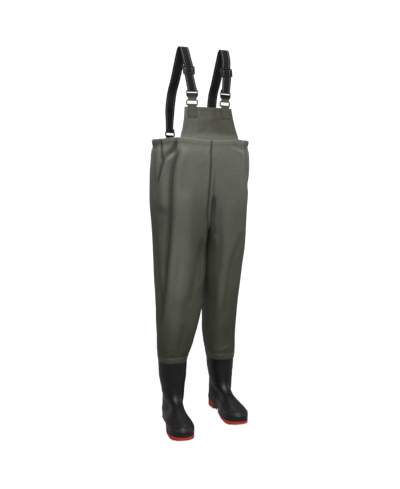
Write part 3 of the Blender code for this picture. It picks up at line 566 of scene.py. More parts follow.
def unit(vectors):
    return vectors / np.maximum(np.linalg.norm(vectors, axis=-1, keepdims=True), TINY)


def arc_length(path):
    """Distance along a path to each of its points."""
    return np.concatenate([[0.0], np.cumsum(np.linalg.norm(np.diff(path, axis=0), axis=1))])


def vertex_normals(points, faces):
    a, b, c, d = (points[faces[:, i]] for i in range(4))
    flat = np.cross(c - a, d - b)
    normals = np.zeros_like(points)
    for i in range(4):
        np.add.at(normals, faces[:, i], flat)
    return unit(normals)


def relax(points, faces, weight, rounds):
    """Draw points towards the middle of their neighbours, by weight."""
    edges = np.concatenate([faces[:, [i, (i + 1) % 4]] for i in range(4)])
    edges = np.unique(np.sort(edges, axis=1), axis=0)
    count = np.bincount(edges.ravel(), minlength=len(points))[:, None]
    for _ in range(rounds):
        total = np.zeros_like(points)
        np.add.at(total, edges[:, 0], points[edges[:, 1]])
        np.add.at(total, edges[:, 1], points[edges[:, 0]])
        points = mix(points, total / count, weight[:, None])
    return points


def waves(name, points):
    """Smooth random values at points, of the sizes and the amount that WAVES gives."""
    sizes, amount, seed = WAVES[name]
    shift = Vector((seed, 0, 0))
    return amount * np.array([noise.noise(Vector(spot) + shift) for spot in points / np.array(sizes)])


def nearest(spots, path):
    """For each spot, the way to it from the nearest place on a path, that place's stretch and share of it."""
    along = np.diff(path, axis=0)
    away = spots[:, None] - path[:-1]
    u = np.clip((away * along).sum(-1) / np.maximum((along ** 2).sum(-1), TINY), 0.0, 1.0)
    offset = away - u[..., None] * along
    best = np.linalg.norm(offset, axis=-1).argmin(axis=1)
    row = np.arange(len(spots))
    return offset[row, best], best, u[row, best]


def fold_relief(points, normals, path, half_width, depth, lap, fade):
    """Height at each point of one trough or ridge along a path; lap raises one of its flanks."""
    reach = FOLD_REACH * half_width
    inside = (points > path.min(0) - reach) & (points < path.max(0) + reach)
    index = np.nonzero(inside.all(axis=1))[0]
    offset, stretch, share = nearest(points[index], path)
    distance = np.linalg.norm(offset, axis=-1)
    place = (stretch + share) / (len(path) - 1)
    along = np.diff(path, axis=0)[stretch]
    side = np.sign((np.cross(along, normals[index]) * offset).sum(-1))
    flank = np.sign(lap) * side * distance - LAP_PLACE * half_width
    relief = depth * bell(distance, half_width) + abs(lap * depth) * bell(flank, LAP_WIDTH * half_width)
    result = np.zeros(len(points))
    result[index] = relief * smooth(0, fade, place) * smooth(0, fade, 1 - place)
    return result


# Trousers

def torso_angle(share):
    """Angle of a column of half the torso; share goes from the front middle to the back middle."""
    return math.pi * mix(share, (1 - np.cos(math.pi * share)) / 2, COLUMN_CROWD)


def torso_surface(height, share):
    """Points of the wearer's left half of the torso; the arguments are arrays that go together."""
    angle = torso_angle(share)
    cosine = np.where(np.abs(np.cos(angle)) < TINY, 0.0, np.cos(angle))
    sine = np.where(np.abs(np.sin(angle)) < TINY, 0.0, np.sin(angle))
    front = TORSO.at("front", height)
    back = TORSO.at("back", height)
    x = TORSO.at("half_width", height) * sine ** (2 / TORSO_POWER)
    y = mix(front, back, 0.5) - (back - front) / 2 * signed_power(cosine, 2 / TORSO_POWER)
    valley = TORSO.at("valley", height) * bell(x, VALLEY_WIDTH)
    y = y + np.where(cosine > 0, valley, -SEAT_VALLEY * valley)
    dip = np.where(cosine > 0, -WAIST_DIP * bell(x, WAIST_DIP_WIDTH), 0.0)
    lift = (dip + WAIST_RISE * smooth(0, 1, -cosine)) * smooth(WAIST - WAIST_FADE, WAIST, height)
    return np.stack(np.broadcast_arrays(x, y, height + lift), axis=-1)


def leg_surface(height, angle):
    """Points of the wearer's left leg: angle 0 is the inner side, a quarter turn is the front."""
    across = LEG.at("half_width", height) * signed_power(np.cos(angle), 2 / LEG_POWER)
    ahead = LEG.at("half_depth", height) * signed_power(np.sin(angle), 2 / LEG_POWER)
    x = LEG.at("centre_x", height) - across
    y = LEG.at("centre_y", height) - ahead
    return np.stack(np.broadcast_arrays(x, y, height), axis=-1)


def leg_angle(share):
    """Angle on a leg's section of a column that comes down from the torso."""
    return mix(INNER_ANGLE, 2 * math.pi - INNER_ANGLE, torso_angle(share) / math.pi)


def crotch_line(front, back, share):
    """Points under the body from the back middle, at share 0, to the front middle."""
    drop = CROTCH_DROP * (1 - np.abs(2 * share - 1) ** CROTCH_POWER)
    y = mix(back[1], front[1], share)
    z = mix(back[2], front[2], share) - drop
    return np.stack([np.zeros_like(share), y, z], axis=-1)


def settle_on_boot(points, stance):
    """Points of the left half of the trousers, mirrored to their side and led to their boot."""
    side, turn, height = stance.side, stance.toe_out, points[..., 2]
    low = 1 - smooth(*STANCE_REACH, height)
    middle_x = side * LEG.at("centre_x", height)
    middle_y = LEG.at("centre_y", height)
    away_x = side * points[..., 0] - middle_x
    away_y = points[..., 1] - middle_y
    turned = side * turn * low
    shift_x = stance.heel_x + side * math.sin(turn) * SHAFT_REACH - side * LEG.at("centre_x", HEM)
    shift_y = stance.heel_y - math.cos(turn) * SHAFT_REACH - LEG.at("centre_y", HEM)
    x = middle_x + np.cos(turned) * away_x - np.sin(turned) * away_y + shift_x * low
    y = middle_y + np.sin(turned) * away_x + np.cos(turned) * away_y + shift_y * low
    inner = -side * away_x / LEG.at("half_width", height)
    x = x - side * FULLNESS.at(stance.name, height) * smooth(0, 1, inner)
    x = x + DIVIDE.at("shift", height) * bell(x, DIVIDE_WIDTH)
    return np.stack([x, y + FORWARD, height], axis=-1)


def skin(stance, share, height):
    """Place on the trousers' outside, by share of the way round from the front middle, and height."""
    on_torso = torso_surface(np.maximum(height, FORK), share)
    on_leg = leg_surface(np.minimum(height, THIGH), leg_angle(share))
    down = np.clip((FORK - height) / (FORK - THIGH), 0.0, 1.0)[..., None]
    return settle_on_boot(mix(on_torso, on_leg, down), stance)


def trouser_half(stance):
    """Points, quads, shares of the way round and steps of one half of the trousers."""
    even = np.linspace(0, 1, HALF_STEPS + 1)
    shares = mix(even, (1 - np.cos(math.pi * even)) / 2, MIDDLE_CROWD)
    hem_foot = WAIST - HEM_HEIGHT
    heights = np.concatenate([np.linspace(WAIST, hem_foot, EDGE_ROWS),
                              np.linspace(hem_foot - STEP_RUN, FORK, TORSO_ROWS)])
    torso = torso_surface(heights[:, None], shares)
    inner = np.linspace(0, 1, INNER_STEPS + 1)[1:-1]
    ring = np.concatenate([torso[-1], crotch_line(torso[-1][0], torso[-1][-1], inner)])
    angles = np.concatenate([leg_angle(shares), 2 * math.pi + mix(-INNER_ANGLE, INNER_ANGLE, inner)])
    target = leg_surface(np.full_like(angles, THIGH), angles)
    thigh = mix(ring, target, np.linspace(0, 1, THIGH_ROWS + 1)[:, None, None])
    band = HEM + BAND_HEIGHT
    levels = np.concatenate([np.linspace(THIGH, band + STEP_RUN, LEG_ROWS + 1)[1:],
                             np.linspace(band, HEM, EDGE_ROWS)])
    legs = np.concatenate([thigh, leg_surface(levels[:, None], angles)])
    points = np.concatenate([torso.reshape(-1, 3), legs.reshape(-1, 3)])
    faces = np.concatenate([grid_faces(*torso.shape[:2]),
                            grid_faces(*legs.shape[:2], closed=True) + torso[..., 0].size])
    if stance.side < 0:
        faces = faces[:, ::-1]
    round_leg = np.concatenate([shares, np.full(len(inner), -1.0)])
    share = np.concatenate([np.tile(shares, len(torso)), np.tile(round_leg, len(legs))])
    flat_front = mix(HEM_FRONT, 1.0, smooth(*HEM_FRONT_REACH, shares))
    hem_step = np.where(heights >= hem_foot - SAME_ROW, HEM_STEP, 0.0)[:, None] * flat_front
    band_step = np.where(levels <= band + SAME_ROW, BAND_STEP, 0.0)
    leg_step = np.concatenate([np.zeros(len(thigh)), band_step])
    step = np.concatenate([hem_step.ravel(), np.repeat(leg_step, legs.shape[1])])
    points[:, 2] += HEM_LIFT[stance.name] * (1 - smooth(*HEM_LIFT_FADE, points[:, 2] - HEM))
    return settle_on_boot(points, stance), faces, share, step


def waist_arc(share):
    """Length round the waist from the front middle, at each share."""
    shares = np.linspace(0, 1, WAIST_ARC_STEPS)
    line = torso_surface(np.full_like(shares, WAIST), shares)
    return np.interp(share, shares, arc_length(line))


def gathers(points, share):
    """Puffs between the pinches of the elastic waist."""
    down = WAIST + WAIST_RISE * smooth(*WAIST_CLIMB, share) - points[:, 2]
    phase = waist_arc(np.maximum(share, 0)) / GATHER_PITCH + waves("gather_wander", points)
    phase = phase + GATHER_OFFSET * np.sign(points[:, 0])
    puff = np.abs(np.sin(math.pi * phase)) ** GATHER_ROUND - GATHER_LEVEL
    strength = GATHER_STRENGTH + waves("gather_strength", points)
    puff = GATHER_DEPTH * puff * strength * (1 - smooth(0, GATHER_FADE, down))
    pinch = WAIST_PINCH * bell(down - PINCH_DOWN, PINCH_SPREAD)
    return (puff - pinch) * smooth(*GATHER_START, share)


def folds_relief(points, normals, folds, fade):
    """Height at each point of a table of folds."""
    total = np.zeros(len(points))
    for side_name, half_width, depth, lap, places in folds:
        stance = STANCES[side_name]
        share, height = dense(places, FOLD_STEPS).T
        path = skin(stance, np.clip(share, 0, 1), height)
        total += fold_relief(points, normals, path, half_width, depth, lap * stance.side, fade)
    return total


def cloth_relief(points, normals, share):
    """Relief of the trousers, and that of the folds and of the seams alone, which the cloth's colour takes
    for painted shade in their hollows.
    """
    x, y, z = points.T
    seams = folds_relief(points, normals, SEAMS, SEAM_FADE)
    folds = folds_relief(points, normals, FOLDS + SEAM_RIDGE, FOLD_FADE)
    puffs = gathers(points, share)
    slack = waves("slack", points) + waves("crumple", points)
    relief = folds + seams + puffs + slack * smooth(*SLACK_START, z - HEM)
    at_fork = bell(x - DIVIDE.at("shift", z), FORK_CALM_WIDTH)
    at_fork = at_fork * smooth(*FORK_CALM_LOW, z) * (1 - smooth(*FORK_CALM_HIGH, z))
    relief = relief * (1 - FORK_CALM * at_fork)
    off_boot = smooth(*BOOT_CALM, z - BOOT.high)
    relief = np.where(relief < 0, relief * off_boot, relief)
    at_bib = 1 - smooth(*BIB_CALM_SIDE, np.abs(x) - BIB.at("half_width", BIB.low))
    at_bib = at_bib * smooth(*BIB_CALM_DOWN, z - BIB.low)
    relief = relief * (1 - np.where(y < FORWARD, at_bib, 0.0))
    at_tab = 1 - smooth(*TAB_CALM_SIDE, np.abs(np.abs(x) - BACK_X) - TAB_WIDTH / 2)
    at_tab = at_tab * smooth(*TAB_CALM_DOWN, z - BACK_TAB_FOOT_Z)
    relief = relief * (1 - np.where(y > FORWARD, at_tab, 0.0))
    return relief, folds + PUFF_SHADE * puffs, seams


def make_trousers():
    """The trousers, with the paths and normals of the stitches along their waist hem."""
    halves = [trouser_half(stance) for stance in STANCES.values()]
    half_size = len(halves[0][0])
    points, share, step = (np.concatenate([half[k] for half in halves]) for k in (0, 2, 3))
    faces = np.concatenate([halves[0][1], halves[1][1] + half_size])
    rounded = np.round(points, WELD_DECIMALS)
    _, first, index = np.unique(rounded, axis=0, return_index=True, return_inverse=True)
    index = index.reshape(-1)
    points, share, step, faces = points[first], share[first], step[first], index[faces]
    near_fork = smooth(*FORK_EASE_LOW, points[:, 2]) * (1 - smooth(*FORK_EASE_HIGH, points[:, 2]))
    points = relax(points, faces, FORK_EASE * near_fork, FORK_EASE_ROUNDS)
    normals = vertex_normals(points, faces)
    relief, folds, seams = cloth_relief(points, normals, share)
    points = points + normals * (relief + step)[:, None]
    points[:, 2] += waves("waist_edge", points) * smooth(WAIST - WAIST_WAVE_DOWN, WAIST, points[:, 2])
    obj = add_mesh("trousers_cloth", points, faces.tolist())
    band = (step > 0) & (points[:, 2] < THIGH)
    for name, values in (("fold", folds), ("seam", seams), ("band", band.astype(float))):
        obj.data.attributes.new(name, "FLOAT", "POINT").data.foreach_set("value", values)
    finish_with(obj, "SOLIDIFY", thickness=CLOTH, offset=-1.0)
    hem_row = np.arange(HALF_STEPS + 1) + (EDGE_ROWS - 2) * (HALF_STEPS + 1)
    rows = [index[hem_row + start] for start in (0, half_size)]
    return obj, [(points[row], normals[row]) for row in rows]


def torso_skin(x, height, way):
    """Y of the torso's outside at x: way is -1 for the front and 1 for the back."""
    front = TORSO.at("front", height)
    back = TORSO.at("back", height)
    aside = np.minimum(np.abs(x) / TORSO.at("half_width", height), 1.0)
    depth = (1 - aside ** TORSO_POWER) ** (1 / TORSO_POWER)
    return mix(front, back, 0.5) + way * (back - front) / 2 * depth + FORWARD


def waist_back(x, height):
    """Y of the outside of the waist hem at the back, where the waist rises."""
    return torso_skin(x, np.minimum(height - WAIST_RISE, WAIST), 1) + HEM_STEP


# Bib

def bib_front(x, height):
    """Y of the bib's front face: behind the waist hem below, leaning back to its top."""
    tucked = torso_skin(x, np.minimum(height, WAIST), -1) + CLOTH + GAP + BIB_TUCK
    top = BIB_TOP_MIDDLE_Y + FORWARD + BIB_TOP_CURVE * (x / BIB.at("half_width", BIB.high)) ** 2
    return mix(tucked, top, BIB.at("lean", height))


def bib_face(x, height):
    """The same, with the panel behind its folded hem."""
    from_edge = np.minimum(BIB.at("half_width", height) - np.abs(x), BIB.high - height)
    return bib_front(x, height) + BIB_HEM_STEP * smooth(BIB_HEM, BIB_HEM + BIB_HEM_RUN, from_edge)


def make_bib():
    height = np.linspace(BIB.low, BIB.high, BIB_ROWS + 1)[:, None]
    x = BIB.at("half_width", height) * np.linspace(-1, 1, BIB_STEPS + 1)
    height = np.broadcast_to(height, x.shape)
    points = np.stack([x, bib_face(x, height), height], axis=-1).reshape(-1, 3)
    by_tab = 1 - smooth(*BIB_TAB_SIDE, np.abs(np.abs(points[:, 0]) - BRACE_X))
    by_tab = by_tab * smooth(*BIB_TAB_DOWN, points[:, 2] - TAB_FOOT_Z)
    loose = smooth(*BIB_SLACK_START, points[:, 2] - WAIST) * (1 - by_tab)
    for name in ("bib_slack", "bib_crumple"):
        points[:, 1] += loose * waves(name, points)
    obj = add_mesh("bib_panel", points, grid_faces(*x.shape)[:, ::-1].tolist())
    finish_with(obj, "SOLIDIFY", thickness=BIB_CLOTH, offset=-1.0)
    return obj


# Boots

def end_round(station):
    heel = np.clip(station / HEEL_ROUND, 0.0, 1.0)
    toe = np.clip((1 - station) / TOE_ROUND, 0.0, 1.0)
    return np.sqrt(1 - (1 - heel) ** 2) * np.sqrt(1 - (1 - toe) ** 2)


def sole_station(reach):
    """Station along the sole of a distance forward of the heel's origin."""
    back = -SOLE.straight("edge", 0)
    front = BOOT_LENGTH + SOLE.straight("edge", 1)
    return (reach - back) / (front - back)


def upper_foot_height(reach):
    """Lower edge of the boot's upper: on the sole's top, and down over the sole at the arch."""
    station = sole_station(reach)
    share = np.interp(station, ARCH_FLAP, (0, 1, 1, 0))
    return mix(SOLE.straight("top", station) + GAP, ARCH_FLAP_HEIGHT, share)


def boot_row(height, proud=0.0, spur=0.0, foot_line=None):
    """One level of the boot, outer side first; foot_line blends it down to the sole's top line."""
    even = np.linspace(0.0, 1.0, BOOT_COLUMN_STEPS)
    station = np.clip((1 - np.cos(math.pi * even)) / 2, END_STATION, 1 - END_STATION)
    oval = BOOT.at("half_width", height) * 2 * np.sqrt(station * (1 - station))
    reach = mix(BOOT.at("back", height) - proud, BOOT.at("front", height) + proud, station)
    reach = reach - spur * (1 - smooth(0, SPUR_REACH, station))
    level = np.full_like(station, height)
    if foot_line is not None:
        level = mix(upper_foot_height(reach), height, foot_line)
    inset = BOOT.at("inset", height) * smooth(*INSET_REACH, reach) * end_round(station)
    sides = []
    for edge, sign, draw_in in (("outer", 1, INSET_OUTER), ("inner", -1, 1.0)):
        foot = OUTLINE.at(edge, station) * end_round(station) - draw_in * inset
        half = mix(oval, foot, BOOT.at("foot", height)) + proud
        sides.append(np.stack([sign * half, -reach, level], axis=-1))
    return np.concatenate([sides[0], sides[1][::-1]])


def boot_rows():
    """Levels of the boot from the sole up."""
    over_rand, rand_left, spur_left = RAND_EASE
    rows = [boot_row(RAND_HEIGHT, RAND_STEP, foot_line=share) for share in FOOT_SHARES]
    rows.append(boot_row(SPUR_LOW, RAND_STEP))
    rows.append(boot_row(SPUR_LOW + SPUR_EASE, RAND_STEP, SPUR))
    rows.append(boot_row(RAND_HEIGHT, RAND_STEP, SPUR))
    rows.append(boot_row(RAND_HEIGHT + over_rand, RAND_STEP * rand_left, SPUR * spur_left))
    rows += [boot_row(height) for height in np.linspace(BOOT.rows[1, 0], BOOT.high, BOOT_ROWS + 1)]
    return np.array(rows)


def on_boot(spots):
    """Nearest places on the boot's outside, each looked for at its own height."""
    placed = []
    for x, reach, height in spots:
        spot = np.array([x, -reach, height])
        ring = boot_row(height)
        offset, _, _ = nearest(spot[None], np.concatenate([ring, ring[:1]]))
        placed.append(spot - offset[0])
    return np.array(placed)


def place_boot(points, stance):
    """Points of a left boot in its own frame, mirrored to their side and set at their stance."""
    turn = stance.side * stance.toe_out
    x = stance.side * points[:, 0]
    y = points[:, 1]
    return np.stack([stance.heel_x + math.cos(turn) * x - math.sin(turn) * y,
                     stance.heel_y + FORWARD + math.sin(turn) * x + math.cos(turn) * y,
                     points[:, 2]], axis=-1)


def make_boot(stance):
    rows = boot_rows()
    points = rows.reshape(-1, 3)
    faces = grid_faces(*rows.shape[:2], closed=True)[:, ::-1]
    normals = vertex_normals(points, faces)
    relief = waves("boot_" + stance.name, points)
    for half_width, depth, places in BOOT_FOLDS:
        path = on_boot(dense(places, BOOT_FOLD_STEPS))
        relief += fold_relief(points, normals, path, half_width, depth, 0.0, BOOT_FOLD_FADE)
    relief = relief * smooth(*BOOT_FOLD_START, points[:, 2] - RAND_HEIGHT)
    relief = relief * smooth(*BOOT_FOLD_END, HEM - points[:, 2])
    points = points + normals * relief[:, None]
    reach = -points[:, 1]
    drop = TOE_DROP * smooth(*TOE_DROP_REACH, reach)
    points[:, 2] = mix(points[:, 2], upper_foot_height(reach), drop)
    if stance.side < 0:
        faces = faces[:, ::-1]
    obj = add_mesh("boot_shell_" + stance.name, place_boot(points, stance), faces.tolist())
    finish_with(obj, "SOLIDIFY", thickness=BOOT_WALL, offset=-1.0)
    return obj


def eased_copy(name, node, ease):
    """Copy of one of the frame's moulded pieces, with eased edges."""
    obj = add_object(name, bpy.data.objects[node].data.copy())
    edit_all(obj, (bpy.ops.mesh.remove_doubles, {"threshold": WELD}),
             (bpy.ops.mesh.dissolve_limited, {"angle_limit": math.radians(1)}))
    finish_with(obj, "BEVEL", width=ease, segments=2, limit_method="ANGLE",
                angle_limit=math.radians(35), use_clamp_overlap=True)
    pick(obj)
    bpy.ops.object.shade_smooth_by_angle(angle=math.radians(40))
    return obj


# Webbing

def across(turn):
    """Direction of a fitting's width, turned about Z from X."""
    return Vector((math.cos(turn), math.sin(turn), 0))


def behind(turn):
    return Vector((-math.sin(turn), math.cos(turn), 0))


def lift(height):
    return Vector((0, 0, height))


def on_side(place, side):
    """Place of a piece of the wearer's left, mirrored to its side and moved forward."""
    x, y, z = place
    return side * x, y + FORWARD, z


def wrap(centre, radius, start, end, turn):
    """Points of an arc around a bar; angle 0 is behind it and a quarter turn above it."""
    points = []
    for i in range(WRAP_STEPS + 1):
        angle = math.radians(mix(start, end, i / WRAP_STEPS))
        outward = behind(turn) * math.cos(angle) + lift(math.sin(angle))
        points.append(centre + outward * radius)
    return points


def web_strip(name, path, turns, width):
    """Webbing along a path, with a turn about Z and a width at each point; its UVs go across and along."""
    path = np.array([tuple(point) for point in path])
    side = np.array([tuple(across(turn)) for turn in turns])
    run = np.diff(path, axis=0)
    before = unit(np.cross(side, np.concatenate([run[:1], run])))
    after = unit(np.cross(side, np.concatenate([run, run[-1:]])))
    normal = unit(before + after)
    grow = WEB / 2 / np.maximum((normal * before).sum(-1), MITRE_LIMIT)
    u = np.array(WEB_ACROSS + WEB_ACROSS[-2:0:-1])
    swell = np.array(WEB_SWELL + tuple(-value for value in WEB_SWELL[-2:0:-1]))
    half = np.broadcast_to(width, len(path)) / 2
    points = (path[:, None] + side[:, None] * (half[:, None] * u)[..., None]
              + normal[:, None] * swell[:, None] * grow[:, None, None])
    faces = grid_faces(len(path), len(u), closed=True)[:, ::-1].tolist()
    first_end = list(range(len(u)))
    last_end = [i + (len(path) - 1) * len(u) for i in first_end]
    faces += [first_end[::-1], last_end]
    obj = add_mesh(name, points.reshape(-1, 3), faces)
    along = arc_length(path)[:, None]
    spot = np.stack(np.broadcast_arrays((u + 1) / 2, along), axis=-1).reshape(-1, 2)
    corner = np.zeros(len(obj.data.loops), int)
    obj.data.loops.foreach_get("vertex_index", corner)
    obj.data.uv_layers.new(name="webbing").data.foreach_set("uv", spot[corner].ravel())
    edit_all(obj, (bpy.ops.mesh.normals_make_consistent, {"inside": False}))
    bpy.ops.object.shade_smooth_by_angle(angle=math.radians(50))
    return obj


def bar_radius(bar_height, bar_thick, strip_thick):
    """Radius at which the middle of a strip clears a rectangular bar."""
    return math.hypot(bar_height, bar_thick) / 2 + GAP + strip_thick / 2


RING_WRAP = bar_radius(RING_BAR, RING_THICK, WEB)
HOOK_RADIUS = bar_radius(RING_BAR, RING_THICK, BUCKLE_THICK)
TAB_STANDOFF = LIE + WEB / 2    # middle of a tab to the cloth it is stitched on
BAR_OFFSET = lift((RING_HEIGHT - RING_BAR) / 2)

# Where the rings and their tabs are held: outward is -1 at the front, edge_z is the cloth's edge there
Mount = namedtuple("Mount", "name shade surface outward x edge_z ring_z foot_z stitch_height")
FRONT = Mount("front", "olive", bib_face, -1, BRACE_X, BIB.high, FRONT_RING_Z, TAB_FOOT_Z,
              FRONT_STITCH_HEIGHT)
BACK = Mount("back", "black", waist_back, 1, BACK_X, WAIST + WAIST_RISE, BACK_RING_Z, BACK_TAB_FOOT_Z,
             BACK_STITCH_HEIGHT)
MOUNTS = (FRONT, BACK)


def ring_place(mount, side):
    """Middle of a ring and its turn about Z, which is that of the cloth's edge."""
    x, z, surface = side * mount.x, mount.edge_z, mount.surface
    turn = math.atan((surface(x + GAP, z) - surface(x - GAP, z)) / (2 * GAP))
    on_edge = Vector((x, surface(x, z), mount.ring_z))
    return on_edge - behind(turn) * mount.outward * (RING_WRAP - TAB_STANDOFF), turn


def make_tab(name, mount, ring, turn):
    """Webbing tab, stitched up the cloth and over a ring's lower bar."""
    bar = ring - BAR_OFFSET
    bend = bar + behind(turn) * mount.outward * RING_WRAP
    path = []
    for i in range(TAB_STEPS):
        z = mix(mount.foot_z, bar.z - RING_WRAP, i / TAB_STEPS)
        path.append(Vector((bend.x, mount.surface(bar.x, z) + mount.outward * TAB_STANDOFF, z)))
    start, end = (180, -TAB_PAST) if mount.outward < 0 else (0, 180 + TAB_PAST)
    path += wrap(bar, RING_WRAP, start, end, turn)
    return web_strip(name, path, [turn] * len(path), TAB_WIDTH)


def slider_weave(centre):
    """Webbing through the slider: behind its outer bars and over its middle bar."""
    outer = SLIDER_SIZE[1] / 2
    slip = (SLIDER_THICK + WEB) / 2 + LIE
    edge = SLIDER_MIDDLE / 2 + GAP
    inside = outer - SLIDER_BAR - GAP
    clear = outer + SLIDER_CLEAR
    offsets = ((-clear, 0), (-outer, slip), (-inside, slip), (-edge, -slip),
               (edge, -slip), (inside, slip), (outer, slip), (clear, 0))
    along = Vector((0, math.sin(SLIDER_LEAN), math.cos(SLIDER_LEAN)))
    away = Vector((0, math.cos(SLIDER_LEAN), -math.sin(SLIDER_LEAN)))
    return [centre + along * s + away * d for s, d in dense(offsets, WEAVE_STEPS)]


def make_brace(stance):
    """Webbing from round the buckle's bar, through the slider, over the shoulder and round the back ring."""
    side = stance.side
    front_ring, front_turn = ring_place(FRONT, side)
    back_ring, back_turn = ring_place(BACK, side)
    foot = front_ring + BAR_OFFSET - behind(front_turn) * HOOK_RADIUS
    buckle_bar = Vector((foot.x, foot.y, BUCKLE_TOP_Z - BUCKLE_BAR / 2))
    start = wrap(buckle_bar, bar_radius(BUCKLE_BAR, BUCKLE_THICK, WEB), 0, -180, front_turn)
    start.insert(0, start[0] + lift(TAIL))
    weave = slider_weave(Vector(on_side(SLIDER_CENTRE, side)))
    rise = [start[-1].lerp(weave[0], share) for share in RISE_SHARES]
    end = wrap(back_ring + BAR_OFFSET, RING_WRAP, 0, -180, back_turn)
    over = [tuple(weave[-1])]
    over += [on_side(place, side) for place in SHOULDER_RUN]
    over.append(tuple(end[0] + lift(RING_HEIGHT)))
    over = [Vector(point) for point in dense(over, SHOULDER_STEPS)]
    end.append(end[-1] + lift(TAIL) - behind(back_turn) * TAIL_AWAY)
    path = start + rise + weave[:-1] + over + end
    way = np.linspace(0, 1, len(over))
    to_ring = smooth(TWIST_START, 1, way)
    spread = smooth(*REAR_REACH, way)
    turns = [front_turn] * len(start) + [mix(front_turn, 0, share) for share in RISE_SHARES]
    turns += [0.0] * (len(weave) - 1)
    turns += mix(REAR_TURN * spread, back_turn, to_ring).tolist()
    turns += [back_turn] * len(end)
    width = np.full(len(path), WEB_WIDTH)
    first = len(path) - len(over) - len(end)
    width[first:first + len(over)] = mix(WEB_WIDTH, REAR_WIDTH, spread * (1 - to_ring))
    return web_strip("brace_webbing_" + stance.name, path, turns, width)


# Fittings, each modelled upright about the origin and then put in its place

SAME_PLACE = 1e-5


def start_box(name, size, middle_z=0.0):
    """Box about a place over the origin, left in edit mode."""
    bpy.ops.object.select_all(action="DESELECT")
    bpy.ops.mesh.primitive_cube_add(size=1)
    obj = bpy.context.object
    obj.name = name
    obj.data.name = name
    obj.scale = size
    obj.location.z = middle_z
    bpy.ops.object.transform_apply(location=True, rotation=True, scale=True)
    bpy.ops.object.mode_set(mode="EDIT")
    return obj


def select_where(obj, kind, test):
    """Select the faces or edges that pass a test of their middle and corners."""
    bpy.ops.mesh.select_mode(type="FACE" if kind == "faces" else "EDGE")
    bpy.ops.mesh.select_all(action="DESELECT")
    bpy.ops.object.mode_set(mode="OBJECT")
    mesh = obj.data
    for element in mesh.polygons if kind == "faces" else mesh.edges:
        spots = [mesh.vertices[i].co for i in element.vertices]
        middle = sum(spots, Vector()) / len(spots)
        element.select = bool(test(middle, spots))
    bpy.ops.object.mode_set(mode="EDIT")


def cut_lines(cuts):
    """Bisect the whole mesh at places along X (axis 0) or Z (axis 2)."""
    for axis, value in cuts:
        bpy.ops.mesh.select_mode(type="FACE")
        bpy.ops.mesh.select_all(action="SELECT")
        normal = [0.0, 0.0, 0.0]
        normal[axis] = 1.0
        bpy.ops.mesh.bisect(plane_co=[value * part for part in normal], plane_no=normal)


def open_hole(obj, x_half, z_low, z_high):
    """Cut a rectangular hole through a plate that lies in X and Z."""
    def in_hole(middle, spots):
        depth = max(spot.y for spot in spots) - min(spot.y for spot in spots)
        return abs(middle.x) < x_half and z_low < middle.z < z_high and depth < SAME_PLACE

    cut_lines(((0, -x_half), (0, x_half), (2, z_low), (2, z_high)))
    select_where(obj, "faces", in_hole)
    bpy.ops.mesh.bridge_edge_loops()


def round_corners(obj, x_half, z_half, corner, z_middle=0.0):
    def at_corner(middle, spots):
        off_x = abs(abs(middle.x) - x_half)
        off_z = abs(abs(middle.z - z_middle) - z_half)
        return max(off_x, off_z) < SAME_PLACE < abs(spots[0].y - spots[1].y)

    select_where(obj, "edges", at_corner)
    bpy.ops.mesh.bevel(offset=corner, segments=CORNER_STEPS, affect="EDGES")


def put_fitting(obj, ease, centre, turn, lean=0.0):
    """Ease a fitting's edges and set it in its place."""
    bpy.ops.mesh.select_all(action="SELECT")
    bpy.ops.mesh.dissolve_limited(angle_limit=math.radians(0.5))
    bpy.ops.object.mode_set(mode="OBJECT")
    finish_with(obj, "BEVEL", width=ease, segments=3, limit_method="ANGLE", angle_limit=math.radians(40))
    turned = Matrix.Rotation(turn, 4, "Z") @ Matrix.Rotation(-lean, 4, "X")
    obj.matrix_world = Matrix.Translation(centre) @ turned
    pick(obj)
    bpy.ops.object.transform_apply(location=True, rotation=True, scale=True)
    bpy.ops.object.shade_smooth_by_angle(angle=math.radians(35))
    return obj


def lie_at(height, spots):
    return all(abs(spot.z - height) < SAME_PLACE for spot in spots)


def make_ring(name, centre, turn):
    obj = start_box(name, (RING_WIDTH, RING_THICK, RING_HEIGHT))
    open_hole(obj, RING_WIDTH / 2 - RING_SIDE, RING_BAR - RING_HEIGHT / 2, RING_HEIGHT / 2 - RING_BAR)
    round_corners(obj, RING_WIDTH / 2, RING_HEIGHT / 2, RING_CORNER)
    return put_fitting(obj, RING_EASE, centre, turn)


def make_slider(stance):
    width, height = SLIDER_SIZE
    obj = start_box("slider_frame_" + stance.name, (width, SLIDER_THICK, height))
    near, far = SLIDER_MIDDLE / 2, height / 2 - SLIDER_BAR
    for low, high in ((near, far), (-far, -near)):
        open_hole(obj, (WEB_WIDTH + SLIDER_ROOM) / 2, low, high)
    round_corners(obj, width / 2, height / 2, SLIDER_CORNER)
    return put_fitting(obj, SLIDER_EASE, on_side(SLIDER_CENTRE, stance.side), 0.0, SLIDER_LEAN)


